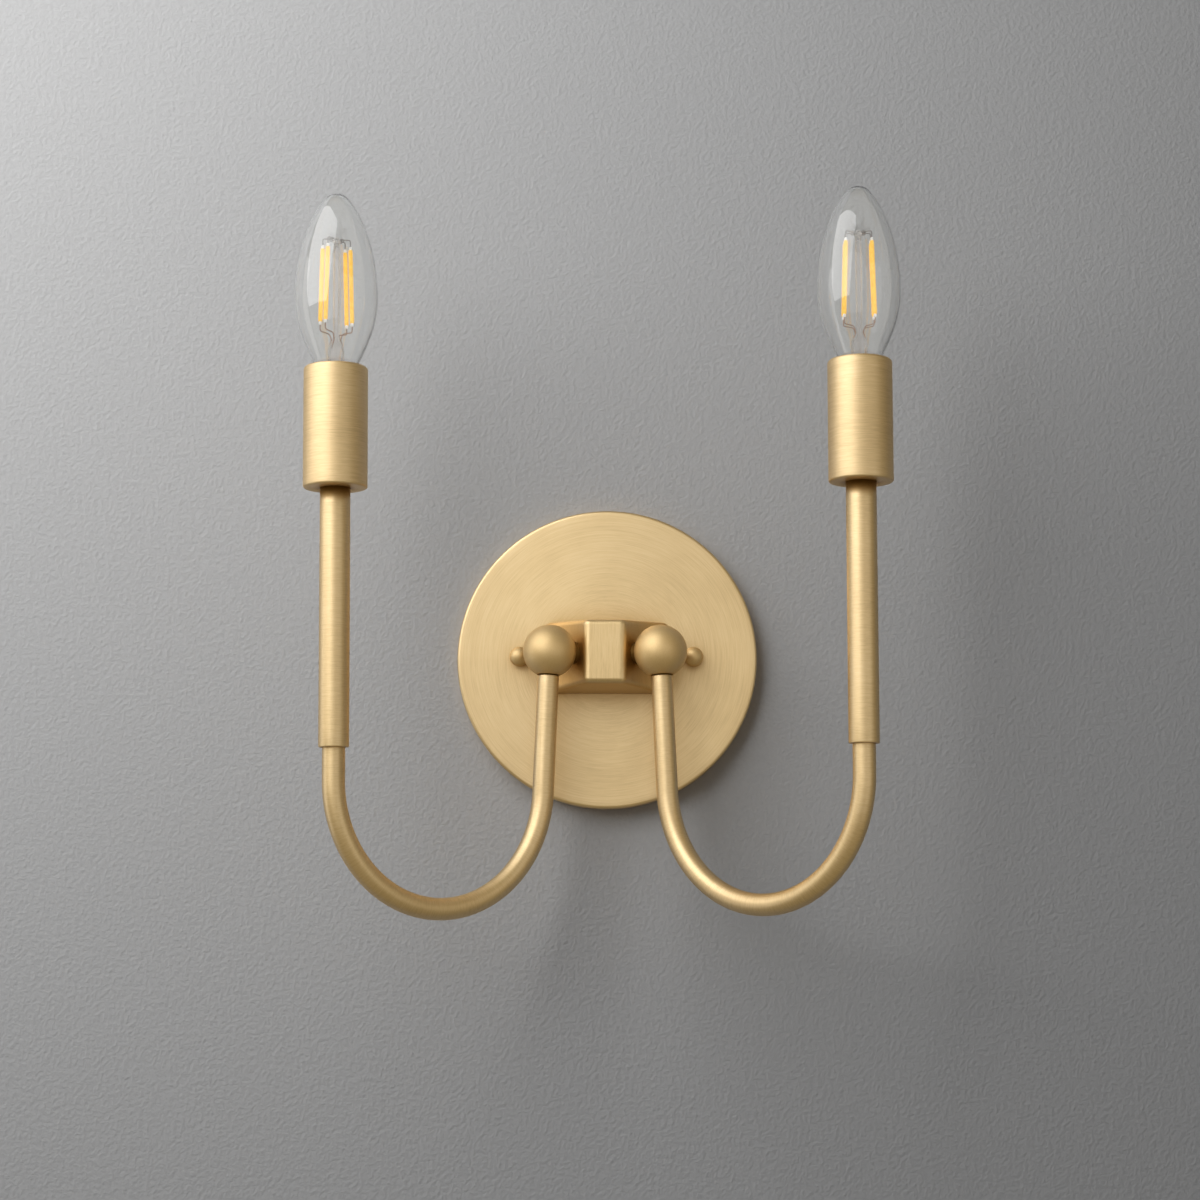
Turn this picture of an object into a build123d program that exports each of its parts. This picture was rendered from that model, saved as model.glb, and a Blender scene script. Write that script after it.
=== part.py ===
from build123d import *
import os
from math import cos, hypot, radians, sin, sqrt, tan

# Double arm wall sconce, in millimetres.
# The wall is the plane Y = 0, the room is towards -Y, X is to the right and Z is up.
# The origin is on the wall, at the centre of the round back plate.

# ---------------------------------------------------------------- driving dimensions
# clearances, all radial
slip = 0.05  # tubes and threads that stay put
running = 0.08  # threads that turn
screw_play = 0.25  # a screw in a plain hole

# back plate, a shallow pan that covers the junction box
plate_radius = 68.6
plate_depth = 8.0
plate_wall = 1.2
plate_edge_round = 1.5
plate_inner_round = 0.6

# mounting bracket behind the plate
bracket_thick = 1.6
bracket_bar_width = 16.0
bracket_middle_radius = 17.0
bracket_wire_hole = 22.0
bracket_slot_centre = 39.7
bracket_slot_travel = 9.5
bracket_slot_width = 4.8
bracket_end_margin = 5.0

# studs that carry the back plate
stud_spacing = 79.2
stud_diameter = 4.17
stud_end_margin = 5.5
stud_reach = 7.2  # beyond the plate's face
stud_tip_chamfer = 0.4
lock_nut_flats = 8.7
lock_nut_thick = 3.0

# ball nuts on the studs
nut_washer_diameter = 7.2
nut_washer_thick = 0.6
ball_nut_diameter = 8.9
ball_nut_neck_diameter = 6.4
ball_nut_neck_length = 3.2
ball_nut_bore_spare = 0.6

# grounding screw on the bracket
ground_screw_x = 26.0
ground_screw_diameter = 4.6
ground_screw_head = 8.2
ground_screw_head_thick = 2.0
ground_screw_slot = 1.0

# hub, a hollow faceted block that is narrower at its front
hub_front_width = 17.3
hub_back_width = 56.2
hub_front_height = 28.2
hub_back_height = 32.6
hub_depth = 30.0
hub_wall = 3.0
hub_round = 2.0
hub_screw_diameter = 4.0
hub_screw_from_side = 15.1  # in from the hub's back edges
hub_screw_from_end = 6.5
hub_screw_grip = 8.0
hub_screw_head = 7.4
hub_screw_head_thick = 2.0
hub_boss_diameter = 8.0
hub_boss_depth = 10.0

# bushing that guards the supply wires in the plate's centre
bushing_bore = 8.0
bushing_barrel = 11.0
bushing_flange = 14.5
bushing_flange_thick = 1.0
bushing_reach = 2.0

# balls on the hub's slanted sides
ball_diameter = 23.7
ball_from_front_edge = 9.84  # along the slanted side
ball_neck_diameter = 11.2
ball_neck_length = 0.9
ball_mouth_diameter = 10.6  # flat round the arm tube

# hollow nipple from the hub into the ball, and its nut inside the hub
nipple_diameter = 9.6
nipple_bore = 6.5
nipple_from_centre = 6.2
nipple_nut_flats = 13.4
nipple_nut_thick = 2.4
nipple_spare = 1.4

# arm tubes
arm_diameter = 9.525
arm_wall = 1.0
arm_start = 5.6  # below the ball's centre
arm_bend_radius = 53.3
arm_leg_lean = 3.64  # degrees, inner leg from plumb
arm_leg = {"left": 63.0, "right": 61.6}
arm_swing = {"left": 39.2, "right": 41.1}  # degrees, forward from the wall
arm_droop = {"left": 1.0, "right": 0.0}  # degrees, in the arm's own plane

# candle tubes and socket cups, heights above the ball's level
candle_diameter = 12.7
candle_bottom = -46.0
cup_bottom = 62.3
cup_height = 51.6
cup_diameter = 27.0
cup_wall = 1.8
cup_floor = 1.6
cup_top_round = 1.4
cup_bottom_round = 0.9
cup_nut_flats = 13.6
cup_nut_thick = 2.6
tube_above_nut = 4.5

# candelabra lampholders
socket_diameter = 19.4
socket_length = 38.4
socket_base_thick = 12.0
socket_chamber_depth = 8.5
socket_chamber_diameter = 9.4
socket_rim_chamfer = 0.5
socket_shell_wall = 0.4
contact_thick = 0.4
contact_width = 3.4
contact_length = 8.4

# leads inside the arms, and the closed caps that join them inside the hub
lead_diameter = 2.2
lead_offset = 1.3
lead_bend = 3.4
lead_past_nipple = 1.4
lead_in_lampholder = 4.0
splice_diameter = 6.8
splice_bore = 5.2
splice_length = 10.0
splice_bore_depth = 7.0
splice_back = 11.5  # closed end, from the wall
splice_height = 4.3  # centre line, above or below the middle
splice_spread = 1.2  # a lead's centre line from the cap's

# candle bulbs, heights above the tip of the bulb's contact
bulb_length = 102.4
bulb_diameter = 35.0
bulb_glass_wall = 0.7
bulb_base_diameter = 11.7
bulb_base_length = 19.0
bulb_base_wall = 0.3
bulb_foot_diameter = 6.4
bulb_contact_diameter = 4.6
bulb_contact_thick = 0.9
bulb_insulator_thick = 2.0
bulb_neck_in_base = 8.0
# outline of the glass in shares of its widest radius: radius, depth below the tip
bulb_nose = (0.46, 0.41)
bulb_shoulder = (0.79, 1.16)
bulb_belly = (1.0, 2.5)
bulb_waist = (0.90, 3.35)
bulb_throat = (0.61, 4.09)

# glass mount and filaments inside the bulb
stem_radius = 3.4
stem_wall = 0.6
stem_shoulder = 35.2
stem_cone = 4.0
stem_rod_radius = 1.3
stem_rod_top = 81.4
stem_bead_radius = 1.7
filament_radius = 0.9
filament_bottom = 44.8
filament_top = 79.2
filament_top_spread = 5.4
filament_bottom_spread = 6.6
filament_pair_gap = 4.5
filament_turn = {"left": 38.0, "right": 0.0}  # degrees, where the bulb stops turning
wire_radius = 0.3
wire_crown = 82.2
wire_ring = 42.2
wire_root = 39.0

# ---------------------------------------------------------------- worked out from these
sides = {"left": -1, "right": 1}
corners = [(-1, -1), (-1, 1), (1, -1), (1, 1)]
plate_inner = plate_depth - plate_wall
hub_front = plate_depth + hub_depth
hub_screw_x = hub_back_width / 2 - hub_screw_from_side
hub_screw_z = hub_back_height / 2 - hub_screw_from_end
ball_radius = ball_diameter / 2
ball_mouth = sqrt(ball_radius**2 - (ball_mouth_diameter / 2) ** 2)
stud_x = stud_spacing / 2
stud_end = plate_depth + stud_reach
bracket_reach = (
    bracket_slot_centre + bracket_slot_travel / 2 + bracket_slot_width / 2 + bracket_end_margin
)
flare = (hub_back_width - hub_front_width) / 2
slant_length = hypot(flare, hub_depth)
slant_x = flare / slant_length
slant_y = hub_depth / slant_length
nut_face = plate_depth + nut_washer_thick
ball_nut_sink = sqrt((ball_nut_diameter / 2) ** 2 - (ball_nut_neck_diameter / 2) ** 2)
ball_nut_centre = nut_face + ball_nut_neck_length + ball_nut_sink
arm_radius = arm_diameter / 2
lean = radians(arm_leg_lean)
cup_top = cup_bottom + cup_height
socket_bottom = cup_bottom + cup_floor + cup_nut_thick
tube_top = socket_bottom + tube_above_nut
socket_top = socket_bottom + socket_length
socket_floor = socket_bottom + socket_base_thick
contact_top = socket_floor + socket_chamber_depth
socket_shell_radius = bulb_base_diameter / 2 + running + socket_shell_wall
bulb_radius = bulb_diameter / 2
bulb_base_bottom = bulb_contact_thick + bulb_insulator_thick
bulb_neck_radius = bulb_base_diameter / 2 - bulb_base_wall - slip


# ---------------------------------------------------------------- places and directions
def out_of_side(side):
    """Straight out of the hub's slanted side."""
    return Vector(sides[side] * slant_y, -slant_x, 0)


def hub_seat(side):
    """The point on the slanted side where the ball's neck stands."""
    along = ball_from_front_edge
    x = hub_front_width / 2 + slant_x * along
    return Vector(sides[side] * x, -hub_front + slant_y * along, 0)


def ball_centre(side):
    return hub_seat(side) + out_of_side(side) * (ball_neck_length + ball_radius)


def facet_plane(side, out=0.0):
    """A plane along the hub's slanted side, out millimetres off it."""
    origin = hub_seat(side) + out_of_side(side) * out
    return Plane(origin=origin, x_dir=(0, 0, 1), z_dir=out_of_side(side))


def arm_plane(side, out=0.0):
    """The plane an arm is bent in: X outwards along the arm, Y up, from the ball's centre."""
    swing = radians(arm_swing[side])
    droop = radians(arm_droop[side])
    level = Vector(sides[side] * cos(swing), -sin(swing), 0)
    plumb = Vector(0, 0, 1)
    x_dir = level * cos(droop) - plumb * sin(droop)
    y_dir = level * sin(droop) + plumb * cos(droop)
    return Plane(origin=ball_centre(side) + x_dir * out, x_dir=x_dir, z_dir=x_dir.cross(y_dir))


def in_arm(side, x, y, across=0.0):
    """A point in the arm's plane, or across millimetres beside it."""
    flat = arm_plane(side)
    return flat.origin + flat.x_dir * x + flat.y_dir * y + flat.z_dir * across


def down_leg(side):
    """The direction in which the arm's inner leg goes down."""
    flat = arm_plane(side)
    return flat.x_dir * sin(lean) - flat.y_dir * cos(lean)


def candle_out(side):
    """Distance of the candle's centre line from the ball's centre."""
    return arm_leg[side] * sin(lean) + arm_bend_radius * (1 + cos(lean))


def candle_plane(side):
    """The arm's plane, with its origin on the candle's centre line."""
    return arm_plane(side, out=candle_out(side))


def across_candle(side, height):
    """A plane square to the candle's centre line."""
    flat = candle_plane(side)
    return Plane(origin=flat.origin + flat.y_dir * height, x_dir=flat.x_dir, z_dir=flat.y_dir)


def candle_axis(side):
    flat = candle_plane(side)
    return Axis(flat.origin, flat.y_dir)


def finish(builder, name):
    """Names the finished piece and writes it."""
    builder.part.label = name
    export_step(builder.part, f"parts/{name}.step")


# ---------------------------------------------------------------- lines that pieces follow
def add_arm_line(side, start, top, across=0.0):
    """Adds the arm's line: down the inner leg, round the bend and up the candle."""
    leg = arm_leg[side]
    bend_x = leg * sin(lean) + arm_bend_radius * cos(lean)
    bend_y = -leg * cos(lean) + arm_bend_radius * sin(lean)
    middle = (radians(180) + lean + radians(360)) / 2
    middle_x = bend_x + arm_bend_radius * cos(middle)
    middle_y = bend_y + arm_bend_radius * sin(middle)
    leg_end = in_arm(side, leg * sin(lean), -leg * cos(lean), across)
    bend_end = in_arm(side, bend_x + arm_bend_radius, bend_y, across)
    Line(start, leg_end)
    ThreePointArc(leg_end, in_arm(side, middle_x, middle_y, across), bend_end)
    Line(bend_end, in_arm(side, bend_x + arm_bend_radius, top, across))


def add_rounded_line(points, radius):
    """Adds straight runs through the points with tangent arcs; returns where the last run starts."""
    last = points[0]
    for before, corner, after in zip(points, points[1:], points[2:]):
        into = (corner - before).normalized()
        away = (after - corner).normalized()
        half = radians(into.get_angle(away)) / 2
        first = corner - into * (radius * tan(half))
        second = corner + away * (radius * tan(half))
        inwards = (away - into).normalized()
        Line(last, first)
        ThreePointArc(first, corner + inwards * (radius / cos(half) - radius), second)
        last = second
    return last


# ---------------------------------------------------------------- wall side
def make_bracket():
    """Stamped cross-shaped strap: slots above and below, tapped holes left and right."""
    with BuildPart() as bracket:
        with BuildSketch(Plane.XZ):
            Circle(bracket_middle_radius)
            SlotOverall(stud_spacing + 2 * stud_end_margin, bracket_bar_width)
            SlotOverall(2 * bracket_reach, bracket_bar_width, rotation=90)
            Circle(bracket_wire_hole / 2, mode=Mode.SUBTRACT)
            with Locations((-stud_x, 0), (stud_x, 0)):
                Circle(stud_diameter / 2 + slip, mode=Mode.SUBTRACT)
            with Locations((0, -bracket_slot_centre), (0, bracket_slot_centre)):
                SlotCenterToCenter(
                    bracket_slot_travel, bracket_slot_width, rotation=90, mode=Mode.SUBTRACT
                )
            with Locations((ground_screw_x, 0)):
                Circle(ground_screw_diameter / 2 + slip, mode=Mode.SUBTRACT)
        extrude(amount=bracket_thick)
    finish(bracket, "mounting_bracket")


def make_studs():
    """Two studs that start flush with the bracket's back and end in the ball nuts."""
    with BuildPart() as studs:
        with BuildSketch(Plane.XZ):
            with Locations((-stud_x, 0), (stud_x, 0)):
                Circle(stud_diameter / 2)
        extrude(amount=stud_end)
        tips = studs.faces().filter_by(Axis.Y).group_by(Axis.Y)[0]
        chamfer(tips.edges(), length=stud_tip_chamfer)
    finish(studs, "canopy_studs")


def make_lock_nuts():
    with BuildPart() as nuts:
        with BuildSketch(Plane.XZ.offset(bracket_thick)):
            with Locations((-stud_x, 0), (stud_x, 0)):
                RegularPolygon(lock_nut_flats / 2, 6, major_radius=False)
                Circle(stud_diameter / 2 + slip, mode=Mode.SUBTRACT)
        extrude(amount=lock_nut_thick)
    finish(nuts, "stud_lock_nuts")


def make_ground_screw():
    """Grounding screw in the bracket's tapped hole, with a slotted head."""
    head_top = bracket_thick + ground_screw_head_thick
    with BuildPart() as screw:
        with BuildSketch(Plane.XZ):
            with Locations((ground_screw_x, 0)):
                Circle(ground_screw_diameter / 2)
        extrude(amount=bracket_thick)
        with BuildSketch(Plane.XZ.offset(bracket_thick)):
            with Locations((ground_screw_x, 0)):
                Circle(ground_screw_head / 2)
        extrude(amount=ground_screw_head_thick)
        top = screw.faces().sort_by(Axis.Y)[0]
        chamfer(top.edges(), length=ground_screw_head_thick / 4)
        with BuildSketch(Plane.XZ.offset(head_top)):
            with Locations((ground_screw_x, 0)):
                Rectangle(ground_screw_head + ground_screw_slot, ground_screw_slot, rotation=45)
        extrude(amount=-ground_screw_head_thick / 2, mode=Mode.SUBTRACT)
    finish(screw, "ground_screw")


def make_back_plate():
    """Round pan with a rounded front edge, open towards the wall."""
    inner = plate_radius - plate_wall
    with BuildPart() as plate:
        with BuildSketch(Plane.XY) as section:
            with BuildLine():
                Polyline(
                    (0, -plate_depth),
                    (plate_radius, -plate_depth),
                    (plate_radius, 0),
                    (inner, 0),
                    (inner, -plate_inner),
                    (0, -plate_inner),
                    close=True,
                )
            make_face()
            outside = section.vertices().sort_by_distance((plate_radius, -plate_depth))[0]
            fillet(outside, plate_edge_round)
            inside = section.vertices().sort_by_distance((inner, -plate_inner))[0]
            fillet(inside, plate_inner_round)
        revolve(axis=Axis.Y)
        with BuildSketch(Plane.XZ):
            Circle(bushing_barrel / 2 + slip)
            with Locations((-stud_x, 0), (stud_x, 0)):
                Circle(stud_diameter / 2 + screw_play)
            with GridLocations(2 * hub_screw_x, 2 * hub_screw_z, 2, 2):
                Circle(hub_screw_diameter / 2 + screw_play)
        extrude(amount=plate_depth, mode=Mode.SUBTRACT)
    finish(plate, "back_plate")


def make_bushing():
    """Bushing with its flange inside the pan and its barrel through into the hub."""
    with BuildPart() as bushing:
        with BuildSketch(Plane.XZ.offset(plate_inner - bushing_flange_thick)):
            Circle(bushing_flange / 2)
            Circle(bushing_bore / 2, mode=Mode.SUBTRACT)
        extrude(amount=bushing_flange_thick)
        with BuildSketch(Plane.XZ.offset(plate_inner)):
            Circle(bushing_barrel / 2)
            Circle(bushing_bore / 2, mode=Mode.SUBTRACT)
        extrude(amount=plate_wall + bushing_reach)
    finish(bushing, "wire_bushing")


def make_nut_washer(side):
    """Thin washer between a ball nut and the plate."""
    with BuildPart() as washer:
        with BuildSketch(Plane.XZ.offset(plate_depth)):
            with Locations((sides[side] * stud_x, 0)):
                Circle(nut_washer_diameter / 2)
                Circle(stud_diameter / 2 + running, mode=Mode.SUBTRACT)
        extrude(amount=nut_washer_thick)
    finish(washer, f"{side}_nut_washer")


def make_ball_nut(side):
    """Ball nut: a ball on a short neck, with a blind hole for the stud."""
    x = sides[side] * stud_x
    with BuildPart() as nut:
        with BuildSketch(Plane.XZ.offset(nut_face)):
            with Locations((x, 0)):
                Circle(ball_nut_neck_diameter / 2)
        extrude(amount=ball_nut_centre - nut_face)
        with Locations((x, -ball_nut_centre, 0)):
            Sphere(ball_nut_diameter / 2)
        with BuildSketch(Plane.XZ.offset(nut_face)):
            with Locations((x, 0)):
                Circle(stud_diameter / 2 + running)
        extrude(amount=stud_end + ball_nut_bore_spare - nut_face, mode=Mode.SUBTRACT)
    finish(nut, f"{side}_ball_nut")


# ---------------------------------------------------------------- hub and balls
def make_hub():
    """Faceted block: a hollow, rounded frustum with screw bosses and two side holes."""
    share = (hub_depth - hub_wall) / hub_depth
    wall_x = hub_wall / slant_y
    deep_width = hub_back_width + (hub_front_width - hub_back_width) * share
    deep_height = hub_back_height + (hub_front_height - hub_back_height) * share
    with BuildPart() as hub:
        with BuildSketch(Plane.XZ.offset(plate_depth)):
            Rectangle(hub_back_width, hub_back_height)
        with BuildSketch(Plane.XZ.offset(hub_front)):
            Rectangle(hub_front_width, hub_front_height)
        loft(ruled=True)
        fillet(hub.edges().filter_by(lambda e: e.center().Y < -plate_depth - hub_wall), hub_round)
        with BuildSketch(Plane.XZ.offset(plate_depth)):
            Rectangle(hub_back_width - 2 * wall_x, hub_back_height - 2 * hub_wall)
        with BuildSketch(Plane.XZ.offset(hub_front - hub_wall)):
            Rectangle(deep_width - 2 * wall_x, deep_height - 2 * hub_wall)
        loft(ruled=True, mode=Mode.SUBTRACT)
        with BuildSketch(Plane.XZ.offset(plate_depth)):
            with GridLocations(2 * hub_screw_x, 2 * hub_screw_z, 2, 2):
                Circle(hub_boss_diameter / 2)
        extrude(amount=hub_boss_depth)
        with BuildSketch(Plane.XZ.offset(plate_depth)):
            with GridLocations(2 * hub_screw_x, 2 * hub_screw_z, 2, 2):
                Circle(hub_screw_diameter / 2 + slip)
        extrude(amount=hub_screw_grip + slip, mode=Mode.SUBTRACT)
        for side in sides:
            with BuildSketch(facet_plane(side, out=slip)):
                Circle(nipple_diameter / 2 + slip)
            extrude(amount=-2 * hub_wall, mode=Mode.SUBTRACT)
    finish(hub, "hub")


def make_hub_screws():
    """Four screws from inside the pan into the hub's bosses."""
    with BuildPart() as screws:
        with BuildSketch(Plane.XZ.offset(plate_inner)):
            with GridLocations(2 * hub_screw_x, 2 * hub_screw_z, 2, 2):
                Circle(hub_screw_diameter / 2)
        extrude(amount=plate_wall + hub_screw_grip)
        with BuildSketch(Plane.XZ.offset(plate_inner)):
            with GridLocations(2 * hub_screw_x, 2 * hub_screw_z, 2, 2):
                Circle(hub_screw_head / 2)
        extrude(amount=-hub_screw_head_thick)
        heads = screws.faces().filter_by(Axis.Y).group_by(Axis.Y)[-1]
        chamfer(heads.edges(), length=hub_screw_head_thick / 4)
    finish(screws, "hub_screws")


def make_ball(side):
    """Ball on a short neck: one hole from the hub, one from below for the arm tube."""
    centre = ball_centre(side)
    down = down_leg(side)
    with BuildPart() as ball:
        with Locations(centre):
            Sphere(ball_radius)
        with BuildSketch(facet_plane(side)):
            Circle(ball_neck_diameter / 2)
        extrude(amount=ball_neck_length + ball_radius)
        with BuildSketch(Plane(origin=centre + down * ball_mouth, z_dir=down)):
            Circle(ball_radius)
        extrude(amount=ball_radius, mode=Mode.SUBTRACT)
        with BuildSketch(facet_plane(side)):
            Circle(nipple_diameter / 2 + slip)
        extrude(amount=ball_neck_length + ball_radius, mode=Mode.SUBTRACT)
        with BuildSketch(Plane(origin=centre, z_dir=down)):
            Circle(arm_radius + slip)
        extrude(amount=ball_radius, mode=Mode.SUBTRACT)
    finish(ball, f"{side}_ball")


def make_nipple(side):
    """Hollow nipple from inside the hub into the ball, and the nut that holds it."""
    inside = hub_wall + nipple_nut_thick + nipple_spare
    reach = ball_neck_length + ball_radius - nipple_from_centre
    with BuildPart() as nipple:
        with BuildSketch(facet_plane(side, out=-inside)):
            Circle(nipple_diameter / 2)
            Circle(nipple_bore / 2, mode=Mode.SUBTRACT)
        extrude(amount=inside + reach)
    finish(nipple, f"{side}_ball_nipple")
    with BuildPart() as nut:
        with BuildSketch(facet_plane(side, out=-hub_wall)):
            RegularPolygon(nipple_nut_flats / 2, 6, major_radius=False)
            Circle(nipple_diameter / 2 + slip, mode=Mode.SUBTRACT)
        extrude(amount=-nipple_nut_thick)
    finish(nut, f"{side}_nipple_nut")


# ---------------------------------------------------------------- arms, candles and cups
def make_arm_tube(side):
    """Bent tube: down out of the ball, round the bend and up inside the candle tube."""
    start = ball_centre(side) + down_leg(side) * arm_start
    with BuildPart() as tube:
        with BuildLine() as path:
            add_arm_line(side, start, tube_top)
        with BuildSketch(Plane(origin=start, z_dir=down_leg(side))):
            Circle(arm_radius)
            Circle(arm_radius - arm_wall, mode=Mode.SUBTRACT)
        sweep(path=path.line)
    finish(tube, f"{side}_arm_tube")


def make_candle_tube(side):
    """Sleeve over the arm tube, from above the bend to the underside of the cup."""
    with BuildPart() as sleeve:
        with BuildSketch(across_candle(side, candle_bottom)):
            Circle(candle_diameter / 2)
            Circle(arm_radius + slip, mode=Mode.SUBTRACT)
        extrude(amount=cup_bottom - candle_bottom)
    finish(sleeve, f"{side}_candle_tube")


def make_cup(side):
    """Turned cup round the lampholder, open at its top, and the nut on its floor."""
    outer = cup_diameter / 2
    inner = outer - cup_wall
    hole = arm_radius + slip
    inner_floor = cup_bottom + cup_floor
    with BuildPart() as cup:
        with BuildSketch(candle_plane(side)) as section:
            with BuildLine():
                Polyline(
                    (hole, cup_bottom),
                    (outer, cup_bottom),
                    (outer, cup_top),
                    (inner, cup_top),
                    (inner, inner_floor),
                    (hole, inner_floor),
                    close=True,
                )
            make_face()
            low = section.vertices().sort_by_distance((outer, cup_bottom))[0]
            fillet(low, cup_bottom_round)
            high = section.vertices().sort_by_distance((outer, cup_top))[0]
            fillet(high, cup_top_round)
        revolve(axis=candle_axis(side))
    finish(cup, f"{side}_socket_cup")
    with BuildPart() as nut:
        with BuildSketch(across_candle(side, inner_floor)):
            RegularPolygon(cup_nut_flats / 2, 6, major_radius=False)
            Circle(hole, mode=Mode.SUBTRACT)
        extrude(amount=cup_nut_thick)
    finish(nut, f"{side}_cup_nut")


# ---------------------------------------------------------------- lampholders
def make_lampholder(side):
    """Moulded body screwed on the tube's end, with holes for the two leads in its base."""
    outer = socket_diameter / 2
    bore = socket_shell_radius + slip
    hole = arm_radius + slip
    with BuildPart() as body:
        with BuildSketch(across_candle(side, socket_bottom)):
            Circle(outer)
        extrude(amount=socket_length)
        rim = body.faces().sort_by(candle_axis(side))[-1]
        chamfer(rim.edges(), length=socket_rim_chamfer)
        with BuildSketch(across_candle(side, socket_top)):
            Circle(bore)
        extrude(amount=contact_top - socket_top, mode=Mode.SUBTRACT)
        with BuildSketch(across_candle(side, socket_floor)):
            Circle(socket_chamber_diameter / 2)
        extrude(amount=socket_chamber_depth, mode=Mode.SUBTRACT)
        with BuildSketch(across_candle(side, socket_bottom)):
            Circle(hole)
        extrude(amount=tube_above_nut, mode=Mode.SUBTRACT)
        with BuildSketch(across_candle(side, tube_top)):
            with Locations((0, -lead_offset), (0, lead_offset)):
                Circle(lead_diameter / 2 + slip)
        extrude(amount=lead_in_lampholder, mode=Mode.SUBTRACT)
    finish(body, f"{side}_socket_body")
    with BuildPart() as shell:
        with BuildSketch(across_candle(side, contact_top)):
            Circle(socket_shell_radius)
            Circle(socket_shell_radius - socket_shell_wall, mode=Mode.SUBTRACT)
        extrude(amount=socket_top - contact_top - socket_shell_wall)
    finish(shell, f"{side}_socket_shell")


def make_contact_leaf(side):
    """Sprung leaf under the bulb's contact: a foot, a riser and a top."""
    reach = contact_length / 2
    step = reach - contact_thick
    with BuildPart() as leaf:
        with BuildSketch(candle_plane(side)):
            with BuildLine():
                Polyline(
                    (-reach, socket_floor),
                    (reach, socket_floor),
                    (reach, socket_floor + contact_thick),
                    (-step, socket_floor + contact_thick),
                    (-step, contact_top - contact_thick),
                    (step, contact_top - contact_thick),
                    (step, contact_top),
                    (-reach, contact_top),
                    close=True,
                )
            make_face()
        extrude(amount=contact_width / 2, both=True)
    finish(leaf, f"{side}_socket_contact")


# ---------------------------------------------------------------- leads
def make_lead(side, name, across, up):
    """One lead, from its cap in the hub through the ball and the arm to the lampholder."""
    inwards = out_of_side(side) * -1
    past = ball_neck_length + ball_radius + hub_wall + nipple_nut_thick + nipple_spare
    in_ball = ball_centre(side) + arm_plane(side).z_dir * across
    in_hub = in_ball + inwards * (past + lead_past_nipple)
    x = sides[side] * splice_spread
    ahead = splice_back + splice_length
    mouth = Vector(x, -ahead - lead_bend / 2, up * splice_height)
    end = Vector(x, splice_bore_depth - splice_spread - ahead, up * splice_height)
    down_end = in_ball + down_leg(side) * arm_leg[side]
    with BuildPart() as lead:
        with BuildLine() as path:
            leg_start = add_rounded_line([end, mouth, in_hub, in_ball, down_end], lead_bend)
            add_arm_line(side, leg_start, tube_top + lead_in_lampholder - slip, across)
        with BuildSketch(Plane(origin=end, z_dir=(0, -1, 0))):
            Circle(lead_diameter / 2)
        sweep(path=path.line)
    finish(lead, f"{side}_{name}_lead")


def make_splice_caps():
    """Two closed-end caps in the hub; each joins one lead of the left arm to one of the right."""
    with BuildPart() as caps:
        with BuildSketch(Plane.XZ.offset(splice_back)):
            with Locations((0, splice_height), (0, -splice_height)):
                Circle(splice_diameter / 2)
        extrude(amount=splice_length)
        closed = caps.faces().filter_by(Axis.Y).group_by(Axis.Y)[-1]
        fillet(closed.edges(), splice_diameter / 5)
        with BuildSketch(Plane.XZ.offset(splice_back + splice_length)):
            with Locations((0, splice_height), (0, -splice_height)):
                Circle(splice_bore / 2)
        extrude(amount=-splice_bore_depth, mode=Mode.SUBTRACT)
    finish(caps, "splice_caps")


# ---------------------------------------------------------------- bulbs
def glass_outline(shrink):
    """Points of the half outline from the top of the base to the tip, shrink inside the glass."""
    widest = bulb_radius - shrink
    tip = contact_top + bulb_length - shrink
    shape = [bulb_throat, bulb_waist, bulb_belly, bulb_shoulder, bulb_nose, (0, 0)]
    points = [(bulb_neck_radius - shrink, contact_top + bulb_base_length)]
    for across, below in shape:
        points.append((widest * across, tip - widest * below))
    return points


def make_bulb_glass(side):
    """Clear candle-shaped envelope, a shell that is open at its neck."""
    foot = contact_top + bulb_base_length - bulb_neck_in_base
    outer = glass_outline(0)
    inner = glass_outline(bulb_glass_wall)
    ends = [(0.35, 1), (-1, 0)]
    with BuildPart() as glass:
        with BuildSketch(candle_plane(side)):
            with BuildLine():
                Line((outer[0][0], foot), outer[0])
                Spline(*outer, tangents=ends)
                Line(outer[-1], inner[-1])
                Spline(*inner, tangents=ends)
                Line(inner[0], (inner[0][0], foot))
                Line((inner[0][0], foot), (outer[0][0], foot))
            make_face()
        revolve(axis=candle_axis(side))
    finish(glass, f"{side}_bulb_glass")


def make_bulb_base(side):
    """Screw base: a thin metal shell, the insulator under it and the centre contact."""
    outer = bulb_base_diameter / 2
    inner = outer - bulb_base_wall
    bottom = contact_top + bulb_base_bottom
    top = contact_top + bulb_base_length
    foot = bulb_foot_diameter / 2
    with BuildPart() as shell:
        with BuildSketch(candle_plane(side)):
            with BuildLine():
                Polyline(
                    (foot, bottom),
                    (outer, bottom),
                    (outer, top),
                    (inner, top),
                    (inner, bottom + bulb_base_wall),
                    (foot, bottom + bulb_base_wall),
                    close=True,
                )
            make_face()
        revolve(axis=candle_axis(side))
    finish(shell, f"{side}_bulb_base")
    with BuildPart() as insulator:
        with BuildSketch(across_candle(side, contact_top + bulb_contact_thick)):
            Circle(foot)
        with BuildSketch(across_candle(side, bottom)):
            Circle(outer - bulb_base_wall)
        loft()
    finish(insulator, f"{side}_bulb_insulator")
    with BuildPart() as contact:
        with BuildSketch(across_candle(side, contact_top)):
            Circle(bulb_contact_diameter / 2)
        extrude(amount=bulb_contact_thick)
        low = contact.edges().group_by(candle_axis(side))[0]
        chamfer(low, length=bulb_contact_thick / 2)
    finish(contact, f"{side}_bulb_contact")


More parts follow.
